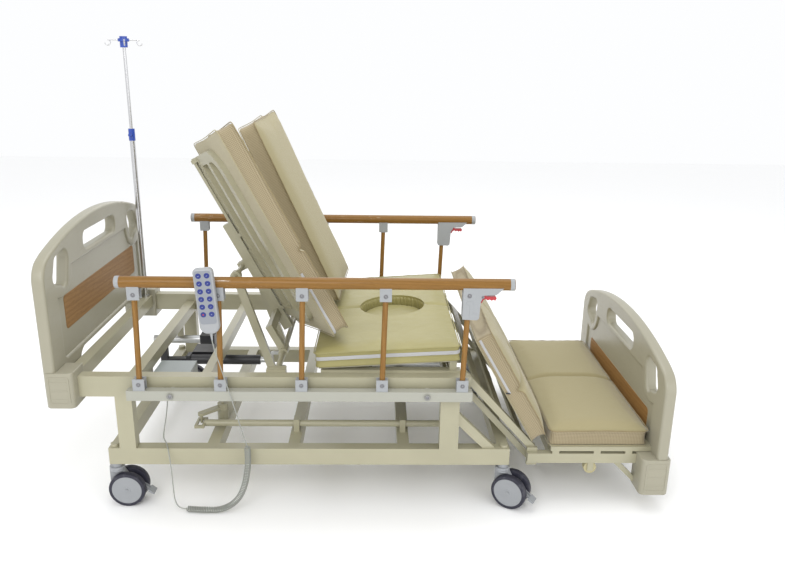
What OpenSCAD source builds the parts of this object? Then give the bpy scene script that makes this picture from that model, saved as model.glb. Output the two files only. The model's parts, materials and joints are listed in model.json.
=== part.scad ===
// Adjustable nursing bed with split turning back section, lowering leg
// section, folding side guards, infusion pole and corded handset.
// Frame: +X towards the foot end, +Y towards the patient's left side, +Z up.
// Origin: on the floor, under the middle of the bed as it is posed here,
// with the back raised and turned up and the leg section lowered.

/* [Base frame] */
// Height of the side rails' upper edge above the floor
deck_z = 478; // [470:1:480]
// Distance of the side rails from the centre line
rail_y = 450; // [446:1:454]
// Width of every square tube seen from above
tube_w = 40; // [36:1:42]
// Height of the upper side rails
side_h = 72; // [60:1:74]
// Top of the lower rails above the floor
low_top = 215; // [205:1:218]
// Height of the lower rails
low_h = 60; // [50:1:62]

/* [Casters] */
// Radius of the caster wheels
wheel_r = 62; // [60:1:63]
// Width of one wheel of a twin caster
wheel_w = 24; // [20:1:25]
// Horizontal distance from the swivel stem to the wheel axle
trail = 36; // [30:1:38]

/* [Back section] */
// Angle of the raised back
back_rest = 62; // [60:1:62]
// Angle of the right half panel, turned up
turn_right = 26; // [20:1:26]
// Angle of the left half panel, turned up
turn_left = 20; // [18:1:22]
// How far the left cushion lies over against its turned panel
over_tilt = 16; // [14:0.5:17]
// How much steeper the left cushion stands than its panel
over_pitch = 4.2; // [0:0.1:5]
// Length of the back cushions
back_pad_l = 774; // [750:1:776]
// Thickness of the back cushions
back_pad_t = 66; // [58:1:70]
// Width of one half panel, from its hinge
half_w = 310; // [300:1:330]

/* [Seat and leg sections] */
// Slope of the seat board, rising to the foot end
seat_tilt = 3.5; // [2:0.5:4]
// Thickness of the seat cushion
seat_pad_t = 55; // [45:1:56]
// Diameter of the commode opening
hole_d = 246; // [220:1:250]
// Angle of the lowered leg section below level
leg_rest = 48; // [46:1:48]
// Length of the calf frame between its pivots
calf_l = 373; // [371:1:375]
// Thickness of the calf cushion
calf_pad_t = 55; // [45:1:56]
// Thickness of the foot cushion
foot_pad_t = 64; // [50:1:66]

/* [End boards] */
// Half the width of both boards
board_half = 505; // [500:1:508]
// Top of the headboard above the floor
head_top = 945; // [935:1:950]
// Top of the footboard above the floor, with the legs lowered
foot_top = 577; // [570:1:582]
// Thickness of the boards' rim
board_t = 40; // [36:1:42]

/* [Side guards] */
// Distance of the guards from the centre line
guard_y = 497; // [494:1:500]
// Length of a guard post between its pivots
post_l = 304; // [300:1:306]
// Diameter of the guard posts
post_d = 18; // [16:1:18]
// Diameter of the guard's top tube
top_d = 37; // [34:1:38]

/* [Infusion pole] */
// Height of the lower pole's top
pole_joint_z = 1150; // [1120:1:1160]
// Height of the pole's head
pole_top_z = 1555; // [1540:1:1560]

/* [Hidden] */
$fn = 48;

// Colours
cream = [0.80, 0.77, 0.66];
board_grey = [0.85, 0.84, 0.80];
wood = [0.68, 0.47, 0.28];
gold_wood = [0.66, 0.42, 0.17];
steel = [0.75, 0.76, 0.77];
white_plastic = [0.86, 0.87, 0.88];
knit = [0.84, 0.76, 0.56];
olive = [0.73, 0.69, 0.42];
dark = [0.12, 0.13, 0.17];
blue = [0.10, 0.30, 0.75];
red = [0.78, 0.16, 0.12];

// Fits: clearance on the radius of every running pin, gap beside it
fit = 0.05;
gap = 0.3;

// Lengthwise stations of the base frame
low_head = -866;
low_foot = 493;
side_head = -992;
side_foot = 348;
rail_in = rail_y - tube_w / 2;
low_z = low_top - low_h;
side_z = deck_z - side_h;

// Hinge lines
pivot_z = 465;
back_x = -300;
turn_y = 14;
turn_z = 33;
calf_x = 335;
foot_x = calf_x + calf_l * cos(leg_rest);
foot_z = pivot_z - calf_l * sin(leg_rest);
link_dx = -12;
link_dz = -42;

// Swivel stems of the casters and how each stands at rest
stem_head = -857;
stem_foot = 482;

// Guards: post stations, lean of the posts at rest, height of the pivots
post_x1 = -731;
post_step = 261.75;
post_lean = 1.7;
post_z = 466;
top_z = post_z + post_l * cos(post_lean);
top_dx = post_l * sin(post_lean);
rail_above = 39;

// Infusion pole
pole_x = -972;
pole_y = 390;
pole_r = 10.5;
upper_r = 6.5;

// Back raising strut: upper pivot in the back frame's own frame, lower end
strut_x = -315;
strut_z = -25;
strut_low_x = -343;
strut_low_z = 345;

// Sloped seat board
seat_x = -165;
seat_z = 490;
seat_l = 464;
board_5 = 5;
hole_x = 100;

// Calf cushion at rest: lower rear edge, slope
calf_pad_x = 580;
calf_pad_z = 217;
calf_pad_a = 60;
calf_pad_l = 437;

// ---------------------------------------------------------------- helpers

// A box given by its low and high corners
module span(lo, hi) {
    translate(lo) cube([hi[0] - lo[0], hi[1] - lo[1], hi[2] - lo[2]]);
}

// A round bar along Y between two values of y
module bar_y(x, z, y0, y1, r) {
    translate([x, y0, z]) rotate([-90, 0, 0]) cylinder(h = y1 - y0, r = r);
}

// Both sides of the bed: children are drawn for the left side
module both_sides() {
    children();
    mirror([0, 1, 0]) children();
}

// A flat bar in the XZ plane with round ends, from point a to point b
module link_xz(a, b, r, y0, y1) {
    d = b - a;
    translate([a[0], y1, a[1]]) rotate([90, -atan2(d[1], d[0]), 0]) {
        cylinder(h = y1 - y0, r = r);
        translate([norm(d), 0, 0]) cylinder(h = y1 - y0, r = r);
        translate([0, -r, 0]) cube([norm(d), 2 * r, y1 - y0]);
    }
}

// Point of an arc, and a list of them
function arc(c, r, a0, a1, n) =
    [for (i = [0:n]) let (a = a0 + (a1 - a0) * i / n)
        [c[0] + r * cos(a), c[1] + r * sin(a)]];

// A rounded rectangle with one radius at each of its four corners,
// from the low corner counter-clockwise
module round_rect(w, h, r) {
    polygon(concat(
        arc([r[0], r[0]], r[0], 180, 270, 8),
        arc([w - r[1], r[1]], r[1], 270, 360, 8),
        arc([w - r[2], h - r[2]], r[2], 0, 90, 8),
        arc([r[3], h - r[3]], r[3], 90, 180, 8)));
}

// Frames of the moving sections at rest; children are drawn level,
// with the hinge line at the origin
module at_back() {
    translate([back_x, 0, pivot_z]) rotate([0, back_rest, 0]) children();
}

module at_turn(side) {
    at_back() translate([0, side * turn_y, turn_z])
        rotate([side * (side < 0 ? turn_right : turn_left), 0, 0])
            children();
}

module at_calf() {
    translate([calf_x, 0, pivot_z]) rotate([0, leg_rest, 0]) children();
}

// -------------------------------------------------------------- base frame

module lower_side() {
    difference() {
        union() {
            span([low_head, rail_in, low_z],
                [low_foot, rail_in + tube_w, low_top]);
            span([-827, rail_in, low_top], [-772, rail_in + tube_w, side_z]);
            span([251, rail_in, low_top], [315, rail_in + tube_w, side_z]);
            rotate([90, 0, 0])
                translate([0, 0, -rail_y - 12])
                    linear_extrude(24)
                        polygon([[315, 344], [315, 300], [400, low_top],
                            [444, low_top]]);
            for (x = [stem_head, stem_foot])
                if (x < 0)
                    translate([x + 8, rail_y, low_top])
                        cylinder(h = 10, r = 14);
                else
                    translate([x - 7, rail_y, low_top])
                        cylinder(h = 10, r = 14);
        }
        for (x = [stem_head, stem_foot])
            translate([x + (x < 0 ? 8 : -7), rail_y, low_z - 1])
                cylinder(h = low_h - 4, r = 8 + fit);
    }
}

module lower_frame() {
    color(cream) {
        both_sides() lower_side();
        for (x = [low_head, -541, -265, 110, low_foot - tube_w])
            span([x, -rail_in, low_z + 8], [x + tube_w, rail_in, low_top]);
        // post and pin of the turning crank
        translate([crank_x, crank_y, low_top]) cylinder(h = 40, r = 20);
        translate([crank_x, crank_y, low_top]) cylinder(h = 70, r = 6);
        // guides for the turning rod
        for (x = [-255, 120])
            difference() {
                span([x, rod_y - 20, low_top], [x + 20, rod_y + 20, 262]);
                bar_x(x - 1, x + 21, rod_y, rod_z, 12 + fit);
            }
    }
}

module upper_frame() {
    color(cream) difference() {
        union() {
            both_sides() {
                span([side_head, rail_in, side_z],
                    [side_foot, rail_in + tube_w, deck_z]);
                // guides that the back's carriage rests on
                span([-352, rail_in - 14, 436], [-128, rail_in, 448]);
                // pins of the calf frame and of its parallel links
                bar_y(calf_x, pivot_z, 391, rail_in, 8);
                bar_y(calf_x + link_dx, pivot_z + link_dz, 370, rail_in, 6);
            }
            span([side_head, -rail_in, 430],
                [side_head + tube_w, rail_in, deck_z]);
            for (x = [-810, -118, 270])
                span([x, -rail_in, side_z], [x + tube_w, rail_in, 446]);
            span([-562, -rail_in, side_z], [-532, rail_in, 446]);
        }
        both_sides() translate([pole_x, pole_y, 429])
            cylinder(h = 60, r = pole_r + 0.1);
    }
}

module seat_deck() {
    color(cream) {
        both_sides() span([-150, 398, 465], [318, rail_in, 487]);
        for (x = [-20, 278])
            span([x, -398, 465], [x + 30, 398, 480]);
        span([-150, -398, 465], [-122, 398, 492]);
        // ledges that the plug rests on, hung from the seat board
        translate([seat_x, 0, seat_z]) rotate([0, -seat_tilt, 0])
            for (x = [hole_x - seat_x - 118, hole_x - seat_x + 92]) {
                translate([x, -150, -9 - gap - 6]) cube([26, 300, 6]);
                for (y = [-150, 138])
                    translate([x, y, -12]) cube([26, 12, 13]);
            }
        for (s = [-1, 1])
            span([-10, s * 130 - 8, 472], [278, s * 130 + 8, 480]);
        span([281, -420, 487], [305, 420, 519.5]);
        translate([seat_x, 0, seat_z]) rotate([0, -seat_tilt, 0])
            difference() {
                translate([8, -426, 0]) cube([460, 852, board_5]);
                translate([hole_x - seat_x, 0, -1])
                    cylinder(h = 8, r = hole_d / 2);
            }
    }
}

// --------------------------------------------------------- back section

module back_carriage() {
    color(cream) {
        both_sides() span([back_x - 32, 392, 448 + gap],
            [back_x + 32, rail_in - gap, 486]);
        bar_y(back_x, pivot_z, -392, 392, 10);
    }
}

module back_frame() {
    color(cream) at_back() {
        for (s = [-1, 1]) {
            difference() {
                union() {
                    span([-110, s * 200 - 15, -12], [0, s * 200 + 15, 12]);
                    bar_y(0, 0, s * 200 - 30, s * 200 + 30, 17);
                }
                bar_y(0, 0, s * 200 - 31, s * 200 + 31, 10 + fit);
            }
            // lugs of the strut shaft
            span([strut_x - 16, s * 13 - 7, -40],
                [strut_x + 16, s * 13 + 7, -11]);
            // rods that the half panels turn on
            translate([-738, s * turn_y, turn_z]) rotate([0, 90, 0])
                cylinder(h = 640, r = 5);
        }
        bar_y(strut_x, strut_z, -200, 200, 9);
        span([-110, -190, -10], [-80, 190, 10]);
        // spine, deep beside the struts and flat above them
        span([-480, -20, -12], [-20, 20, 24]);
        span([-742, -20, 14], [-478, 20, 24]);
        for (x = [-738, -430, -112])
            span([x, -22, 10], [x + 14, 22, 40]);
    }
}

// A half panel with two long slots
module back_panel(side) {
    panel_l = 670;
    border = 38;
    land = 32;
    slot_w = (half_w - 16 - 2 * border - land) / 2;
    color(cream) at_turn(side) {
        difference() {
            translate([-742, 0, -7.5]) linear_extrude(20)
                difference() {
                    if (side > 0)
                        translate([0, 16]) round_rect(panel_l, half_w - 16,
                            [4, 4, 40, 100]);
                    else
                        translate([0, -half_w])
                            round_rect(panel_l, half_w - 16,
                                [100, 40, 4, 4]);
                    // the outer slot follows the panel's outer corners
                    for (i = [0:1])
                        translate([38, side > 0
                            ? 16 + border + i * (slot_w + land)
                            : -half_w + border + i * (slot_w + land)])
                            round_rect(panel_l - 76, slot_w,
                                side > 0 ? (i == 1 ? [8, 8, 16, 62]
                                    : [8, 8, 8, 8])
                                : (i == 0 ? [62, 16, 8, 8]
                                    : [8, 8, 8, 8]));
                }
            for (x = [-744, -436, -118])
                translate([x, side > 0 ? -1 : -21, -20])
                    cube([26, 22, 50]);
        }
        difference() {
            for (x = [-680, -360])
                translate([x, 0, 0]) {
                    rotate([0, 90, 0]) cylinder(h = 170, r = 8.5);
                    translate([0, side > 0 ? 0 : -17, -7])
                        cube([170, 17, 7]);
                }
            translate([-760, 0, 0]) rotate([0, 90, 0])
                cylinder(h = 700, r = 5 + fit);
        }
    }
}

module back_panel_right() { back_panel(-1); }
module back_panel_left() { back_panel(1); }

// Half cushion of the back: its inner side is bevelled, so that the two
// halves clear each other when both are turned up
pad_inner = 6;
pad_outer = 437;
pad_foot = 15;
pad_foot_left = 23;
pad_bevel = 27;
pad_z = 12.5 + gap;

module back_pad(side, foot, l) {
    translate([-foot, 0, 0]) rotate([90, 0, -90])
        linear_extrude(l)
            polygon([
                [-side * pad_inner, pad_z],
                [-side * pad_outer, pad_z],
                [-side * pad_outer, pad_z + back_pad_t],
                [-side * (pad_inner + pad_bevel), pad_z + back_pad_t]]);
}

module back_pad_right() {
    color(knit) at_turn(-1) back_pad(-1, pad_foot, back_pad_l);
}

// The left cushion lies over on the right one's edge: it tips about its
// outer lower corner
module back_pad_left() {
    corner = [-pad_foot_left, pad_outer, pad_z];
    color(knit) at_turn(1) translate(corner)
        rotate([-over_tilt, over_pitch, 0]) translate(-corner)
            back_pad(1, pad_foot_left, back_pad_l - 24);
}

function turn_about_y(p, a) =
    [p[0] * cos(a) + p[1] * sin(a), -p[0] * sin(a) + p[1] * cos(a)];

strut_top = [back_x, pivot_z] + turn_about_y([strut_x, strut_z], back_rest);
strut_low = [strut_low_x, strut_low_z];

module lift_struts() {
    color(cream) difference() {
        union() {
            for (y = [-160, 140]) {
                link_xz(strut_top, strut_low, 14, y, y + 20);
                bar_y(strut_top[0], strut_top[1], y - 4, y + 24, 19);
            }
            bar_y(strut_low[0], strut_low[1], -162, 162, 9);
        }
        bar_y(strut_top[0], strut_top[1], -190, 190, 9 + fit);
    }
}

module back_actuator() {
    color(dark) {
        difference() {
            bar_x(-690, -420, 0, strut_low_z, 19);
            bar_x(-680, -419, 0, strut_low_z, 11 + fit);
        }
        span([-690, 19, strut_low_z - 24], [-590, 105, strut_low_z + 24]);
        span([-705, -22, strut_low_z - 22], [-690, 22, strut_low_z + 22]);
        // yoke that holds the drive on the cross members
        span([-780, -12, strut_low_z - 8], [-705, 12, strut_low_z + 8]);
        span([-806, -12, strut_low_z - 8], [-780, 12, side_z]);
    }
}

// A round bar along X between two values of x
module bar_x(x0, x1, y, z, r) {
    translate([x0, y, z]) rotate([0, 90, 0]) cylinder(h = x1 - x0, r = r);
}

module back_actuator_rod() {
    color(steel) {
        bar_x(-670, strut_low_x - 32, 0, strut_low_z, 11);
        // open fork round the struts' cross shaft
        for (s = [-1, 1])
            span([strut_low_x - 32, -10, strut_low_z + s * 30 - 4],
                [strut_low_x + 20, 10, strut_low_z + s * 30 + 4]);
        span([strut_low_x - 34, -10, strut_low_z - 34],
            [strut_low_x - 26, 10, strut_low_z + 34]);
    }
}

// ---------------------------------------------------- leg and foot section

module calf_frame() {
    color(cream) at_calf() {
        difference() {
            both_sides() {
                span([0, 393, -12], [calf_l, 417, 12]);
                bar_y(0, 0, 393, 417, 12);
                bar_y(calf_l, 0, 393, 417, 12);
            }
            both_sides() {
                bar_y(0, 0, 390, 420, 8 + fit);
                bar_y(calf_l, 0, 390, 420, 8 + fit);
            }
        }
        for (x = [36, 150, 262])
            span([x, -393, 4], [x + 40, 393, 12]);
    }
}

link_up = [calf_x + link_dx, pivot_z + link_dz];
link_down = [foot_x + link_dx, foot_z + link_dz];

module calf_links() {
    color(cream) both_sides() difference() {
        link_xz(link_up, link_down, 10, 372, 388);
        bar_y(link_up[0], link_up[1], 360, 400, 6 + fit);
        bar_y(link_down[0], link_down[1], 360, 400, 6 + fit);
    }
}

roller_x = 784;
roller_z = 127;

module foot_frame() {
    color(cream) {
        both_sides() {
            span([561, 418, 149], [988, 446, 185]);
            // lug with the two pivots
            span([561, 418, 133], [597, 430, 199]);
            bar_y(foot_x, foot_z, 391, 430, 8);
            bar_y(link_down[0], link_down[1], 370, 430, 6);
            // upper tray bar on its spacers
            span([640, 432, 195], [988, 446, 211]);
            for (x = [646, 790, 900])
                span([x, 432, 185], [x + 24, 446, 195]);
            // roller bracket
            for (y = [411, 439])
                span([roller_x - 10, y, roller_z - 10],
                    [roller_x + 10, y + 3, 149]);
            span([roller_x - 14, 411, 149], [roller_x + 14, 418, 155]);
            bar_y(roller_x, roller_z, 411, 442, 4);
            // brace down to the board's corner shoe
            rotate([90, 0, 0]) translate([0, 0, -438])
                linear_extrude(12)
                    polygon([[862, 149], [886, 149], [940, 95],
                        [940, 71]]);
        }
        span([640, -418, 160], [670, 418, 185]);
        span([896, -418, 160], [926, 418, 185]);
        span([640, -432, 204], [988, 432, 211]);
        for (x = [640, 784, 940])
            span([x, -400, 185], [x + 24, 400, 204]);
    }
}

module foot_rollers() {
    color(white_plastic) both_sides() difference() {
        bar_y(roller_x, roller_z, 415, 438, 22);
        bar_y(roller_x, roller_z, 414, 439, 4 + fit);
    }
}

// ------------------------------------------------------------- end boards

// Outline of a board in its own plane: y across, z up from the board's top
module board_outline(h, leg_in, leg_low) {
    sag = 65;
    shoulder = 430;
    r_top = (shoulder * shoulder + sag * sag) / (2 * sag);
    a = asin(shoulder / r_top);
    side = concat(
        arc([0, -r_top], r_top, 90, 90 - a, 12),
        arc([board_half - 80, -sag - 84], 80, 62, 0, 8),
        [[board_half, -leg_low + 14], [board_half - 14, -leg_low],
            [leg_in + 12, -leg_low], [leg_in, -leg_low + 12]],
        arc([leg_in - 50, -h - 20], 50, 0, 90, 6));
    other = [for (i = [len(side) - 1:-1:1]) [-side[i][0], side[i][1]]];
    polygon(concat(side, other));
}

// A slot with round ends, all in the board's plane
module board_slot(y0, y1, z0, z1, r) {
    translate([y0, z0]) round_rect(y1 - y0, z1 - z0, [r, r, r, r]);
}

// Handle opening that follows the top edge, and one at each side
module board_openings() {
    board_slot(-158, 158, -119, -57, 28);
    for (s = [-1, 1]) {
        y = s > 0 ? 302 : -382;
        polygon(s > 0
            ? [for (p = side_slot()) p]
            : [for (p = side_slot()) [-p[0], p[1]]]);
    }
}

function side_slot() = concat(
    arc([338, -106], 30, 110, 200, 6),
    arc([350, -172], 22, 200, 330, 8),
    arc([404, -150], 24, -60, 20, 6),
    arc([384, -112], 26, 10, 80, 6));

// Board of height h below its top, at x0..x0+board_t, for a bed end
// that faces +X when inner is 1 and -X when inner is -1
module board(x0, top, h, leg_in, leg_low, inlay_top, inlay_h, inner) {
    face = inner > 0 ? board_t - 7 : -1;
    back = inner > 0 ? -1 : board_t - 7;
    translate([x0, 0, top]) difference() {
        rotate([90, 0, 90]) linear_extrude(board_t)
            difference() {
                board_outline(h, leg_in, leg_low);
                board_openings();
            }
        // shallow field on both faces, with the inlay's pocket in the inner
        for (x = [face, back])
            translate([x, 0, 0]) rotate([90, 0, 90]) linear_extrude(8)
                difference() {
                    translate([-408, -h + 22])
                        round_rect(816, h - 22 - 142, [20, 20, 60, 60]);
                    for (s = [-1, 1])
                        translate([s * 372, -135]) circle(r = 95);
                }
        translate([inner > 0 ? board_t - 11 : 7, -362, inlay_top - inlay_h])
            cube([4, 724, inlay_h]);
    }
}

module board_inlay(x0, top, inlay_top, inlay_h, inner) {
    translate([x0 + (inner > 0 ? board_t - 11 : 7), -361.5,
        top + inlay_top - inlay_h + 0.5])
        cube([3.9, 723, inlay_h - 1]);
}

head_x = -1035;
foot_board_x = 988;
head_h = 449;
foot_h = 355;

module shoe(x0, x1, z0, z1, y1) {
    translate([0, 0, z0]) linear_extrude(z1 - z0)
        translate([x0, 412])
            round_rect(x1 - x0, y1 - 412, [3, 3, 16, 16]);
}

module headboard() {
    color(board_grey) {
        difference() {
            board(head_x, head_top, head_h, 289, 545, -228, 117, 1);
            both_sides() shoe(head_x - 1, -940, 380, 503, 511);
        }
        difference() {
            both_sides() shoe(head_x, -940, 380, 503, 510);
            both_sides() span([side_head - 0.01, rail_in, side_z],
                [-930, rail_in + tube_w, deck_z]);
            span([side_head - 0.01, -rail_in, 430],
                [side_head + tube_w, rail_in, deck_z]);
        }
    }
}

module headboard_inlay() {
    color(wood) board_inlay(head_x, head_top, -228, 117, 1);
}

module footboard() {
    color(board_grey) {
        difference() {
            board(foot_board_x, foot_top, foot_h, 289, 500, -262, 80, -1);
            both_sides() shoe(900, foot_board_x + board_t + 20, 61, 194, 511);
        }
        difference() {
            both_sides() shoe(940, foot_board_x + board_t + 12, 61, 194, 510);
            both_sides() span([930, 418, 149], [988.01, 446, 185]);
        }
    }
}

module footboard_inlay() {
    color(wood) board_inlay(foot_board_x, foot_top, -262, 80, -1);
}

// ------------------------------------------------------------ side guards

function post_x(i) = post_x1 + i * post_step;

// Clevis of a post: two cheeks and their pin, drawn for a pivot at the
// origin, with the web on the side that up points to (-1 below, 1 above)
module clevis(up) {
    cheek = 4;
    in_half = post_d / 2 + 0.5;
    low = up < 0 ? -21 : -17;
    high = up < 0 ? 19 : 28;
    for (s = [-1, 1])
        translate([-19, s > 0 ? in_half : -in_half - cheek, low])
            cube([38, cheek, high - low]);
    rotate([90, 0, 0]) translate([0, 0, -in_half - 1])
        cylinder(h = 2 * in_half + 2, r = 4);
}

module guard_base() {
    span([-773, guard_y - 15, 411], [350, guard_y + 15, 445]);
    for (x = [-632, 202]) {
        bar_y(x, 428, rail_y + tube_w / 2, guard_y - 15, 14);
        bar_y(x, 428, guard_y + 15, guard_y + 21, 8);
    }
    for (i = [0:4])
        translate([post_x(i), guard_y, post_z]) clevis(-1);
}

module guard_bases() {
    color(white_plastic) both_sides() guard_base();
}

// Post i of one side; side is -1 for the right and 1 for the left
module guard_post(i, side) {
    color(gold_wood)
        translate([post_x(i), side * guard_y, post_z])
            rotate([0, post_lean, 0]) difference() {
                union() {
                    translate([0, 0, -4])
                        cylinder(h = post_l + 8, r = post_d / 2);
                    for (z = [0, post_l])
                        translate([0, 0, z]) rotate([90, 0, 0])
                            translate([0, 0, -post_d / 2 - 0.3])
                                cylinder(h = post_d + 0.6, r = 7);
                }
                for (z = [0, post_l])
                    translate([0, 0, z]) rotate([90, 0, 0])
                        translate([0, 0, -30])
                            cylinder(h = 60, r = 4 + fit);
            }
}

module post_right_1() { guard_post(0, -1); }
module post_right_2() { guard_post(1, -1); }
module post_right_3() { guard_post(2, -1); }
module post_right_4() { guard_post(3, -1); }
module post_right_5() { guard_post(4, -1); }
module post_left_1() { guard_post(0, 1); }
module post_left_2() { guard_post(1, 1); }
module post_left_3() { guard_post(2, 1); }
module post_left_4() { guard_post(3, 1); }
module post_left_5() { guard_post(4, 1); }

rail_x0 = -778;
rail_x1 = 468;
rail_z = top_z + rail_above;
latch_x = post_x(4) + top_dx;

// Top tube with its clevises and the latch housing at the foot end
module guard_rail(side) {
    color(gold_wood)
        bar_x(rail_x0, rail_x1, side * guard_y, rail_z, top_d / 2);
    color(white_plastic) {
        for (i = [0:4])
            translate([post_x(i) + top_dx, side * guard_y, top_z]) clevis(1);
        translate([latch_x, side * guard_y, top_z]) {
            // cheeks of the housing, open towards the head
            for (s = [-1, 1])
                translate([0, s > 0 ? 17.7 : -14, 0])
                    rotate([90, 0, 0]) linear_extrude(3.7)
                        polygon([[-20, 31], [107, 31], [85, 10],
                            [46, 8], [36, -12], [33, -68], [26, -74],
                            [-20, -72]]);
            translate([20, -14, -68]) cube([11, 28, 46]);
            translate([20, -14, 13]) cube([60, 28, 15]);
            bar_y(42, 2, -15, 15, 3);
        }
    }
}

module guard_rail_right() { guard_rail(-1); }
module guard_rail_left() { guard_rail(1); }

// Release trigger under the rail's end, turning on a pin at its head end
module guard_trigger(side) {
    color(red)
        translate([latch_x, side * guard_y, top_z]) difference() {
            rotate([90, 0, 0]) translate([0, 0, -8]) linear_extrude(16)
                polygon([[36, 8], [49, 9], [56, 2], [84, 2], [87, -4],
                    [83, -12], [77, -9], [71, -12], [65, -8], [59, -11],
                    [53, -7], [46, -9], [40, -20], [35, -20], [34, -8]]);
            bar_y(42, 2, -9, 9, 3 + fit);
        }
}

module guard_trigger_right() { guard_trigger(-1); }
module guard_trigger_left() { guard_trigger(1); }

// ---------------------------------------------------------------- casters

stem_x_head = stem_head + 8;
stem_x_foot = stem_foot - 7;

// A caster stands at its stem; children are drawn with the stem at the
// origin and the wheel trailing towards +X, then turned by a
module at_caster(x, side, a) {
    translate([x, side * rail_y, 0]) rotate([0, 0, a]) children();
}

module fork() {
    arm = 9;
    color(white_plastic) difference() {
        union() {
            translate([0, 0, 128]) cylinder(h = 76, r = 8);
            translate([0, 0, 126]) cylinder(h = 14, r = 24);
            translate([0, 0, 140]) cylinder(h = 14.7, r = 18);
            rotate([90, 0, 0]) translate([0, 0, -arm])
                linear_extrude(2 * arm)
                    polygon([[-24, 132], [-24, 84], [8, 46], [trail - 6, 46],
                        [trail + 14, 56], [trail + 16, 80], [20, 132]]);
            bar_y(trail, wheel_r, -12 - wheel_w - 1, 12 + wheel_w + 1, 5);
            // lug of the brake pedal
            rotate([90, 0, 0]) translate([0, 0, -4]) linear_extrude(8)
                polygon([[trail, 64], [trail + 34, 64], [trail + 34, 84],
                    [trail, 84]]);
        }
        bar_y(trail + 26, 74, -20, 20, 3 + fit);
    }
}

module wheels() {
    color(dark) for (s = [-1, 1]) difference() {
        bar_y(trail, wheel_r, s > 0 ? 11 : -11 - wheel_w,
            s > 0 ? 11 + wheel_w : -11, wheel_r);
        bar_y(trail, wheel_r, -50, 50, 5 + fit);
    }
}

module brake() {
    color(white_plastic) translate([trail, 0, 0]) {
        for (s = [-1, 1])
            rotate([90, 0, 0]) translate([0, 0, s > 0 ? -8.3 : 4.3])
                linear_extrude(4)
                    polygon([[19, 66], [28, 64], [68, 46], [72, 54],
                        [32, 82], [20, 82]]);
        bar_y(26, 74, -8, 8, 3);
        rotate([90, 0, 0]) translate([0, 0, -17]) linear_extrude(34)
            polygon([[66, 46], [86, 36], [88, 40], [70, 54]]);
    }
}

a_head = 0;
a_foot = -30;

module fork_head_right() { at_caster(stem_x_head, -1, a_head) fork(); }
module fork_foot_right() { at_caster(stem_x_foot, -1, a_foot) fork(); }
module wheel_head_right() { at_caster(stem_x_head, -1, a_head) wheels(); }
module wheel_foot_right() { at_caster(stem_x_foot, -1, a_foot) wheels(); }
module brake_head_right() { at_caster(stem_x_head, -1, a_head) brake(); }
module brake_foot_right() { at_caster(stem_x_foot, -1, a_foot) brake(); }

// The left casters have no pedal
module fork_head_left() {
    at_caster(stem_x_head, 1, 0) fork();
}
module fork_foot_left() {
    at_caster(stem_x_foot, 1, 0) fork();
}
module wheel_head_left() { at_caster(stem_x_head, 1, 0) wheels(); }
module wheel_foot_left() { at_caster(stem_x_foot, 1, 0) wheels(); }

// ---------------------------------------------------------- infusion pole

module iv_lower() {
    color(steel) translate([pole_x, pole_y, 0]) difference() {
        union() {
            translate([0, 0, 431])
                cylinder(h = pole_joint_z - 431, r = pole_r);
            translate([0, 0, deck_z]) cylinder(h = 8, r = 16);
            translate([0, 0, pole_joint_z]) cylinder(h = 48, r = 13);
            translate([0, 0, pole_joint_z + 24]) rotate([90, 0, 0])
                cylinder(h = 30, r = 6);
        }
        translate([0, 0, 560])
            cylinder(h = pole_joint_z, r = upper_r + fit);
    }
}

module iv_upper() {
    color(steel) translate([pole_x, pole_y, 0])
        translate([0, 0, pole_joint_z - 60])
            cylinder(h = pole_top_z - 30 - pole_joint_z + 60, r = upper_r);
}

module iv_hook_head() {
    wire_r = 2.4;
    color(blue) translate([pole_x, pole_y, 0]) {
        difference() {
            union() {
                translate([0, 0, pole_top_z - 42]) cylinder(h = 42, r = 15);
                translate([0, 0, pole_top_z - 20]) cylinder(h = 12, r = 22);
            }
            translate([0, 0, pole_top_z - 43])
                cylinder(h = 13.02, r = upper_r);
        }
        for (a = [20:90:290])
            rotate([0, 0, a]) translate([0, 0, pole_top_z - 14]) {
                translate([18, 0, 0]) rotate([0, 90, 0])
                    cylinder(h = 42, r = wire_r);
                translate([60, 0, -10]) rotate([90, 0, 0])
                    rotate_extrude(angle = 260, start = 90)
                        translate([10, 0]) circle(r = wire_r, $fn = 24);
            }
    }
}

// ---------------------------------------------------------------- handset

handset_tilt = 4;
handset_w = 62;
handset_h = 212;
handset_d = 26;
handset_x = -497;
key_r = 7;

// Children are drawn with x across, z up, and the front face at y = 0,
// the case behind it towards +Y; the origin is the case's top centre
module at_handset() {
    translate([handset_x, -guard_y - top_d / 2 - handset_d - 1, rail_z + 56])
        rotate([0, -handset_tilt, 0]) children();
}

function key_x(c) = -13 + 26 * c;
function key_z(r) = -22 - 24.8 * r;

module handset() {
    color(white_plastic) at_handset() {
        difference() {
            translate([-handset_w / 2, handset_d, -handset_h])
                rotate([90, 0, 0]) linear_extrude(handset_d)
                    round_rect(handset_w, handset_h, [26, 26, 14, 14]);
            for (c = [0, 1], r = [0:5])
                translate([key_x(c), 0, key_z(r)])
                    bar_y(0, 0, -1, 9, key_r + 0.1);
        }
        // hook over the guard's top tube
        translate([0, handset_d + 1 + top_d / 2, -56])
            difference() {
                union() {
                    rotate([0, 90, 0]) translate([0, 0, -14])
                        cylinder(h = 28, r = top_d / 2 + 4.5);
                    translate([-14, -top_d / 2 - 1, 2]) cube([28, 10, 22]);
                }
                rotate([0, handset_tilt, 0]) rotate([0, 90, 0])
                    translate([0, 0, -60])
                        cylinder(h = 120, r = top_d / 2 + 0.2);
                translate([-20, -40, -60]) cube([40, 80, 60]);
                translate([-20, -60, -60])
                    cube([40, 60 - top_d / 2 - 1, 120]);
            }
        // strain relief of the lead
        translate([0, handset_d / 2, -handset_h - 22])
            cylinder(h = 22, r1 = 3, r2 = 5, $fn = 24);
    }
}

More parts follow.
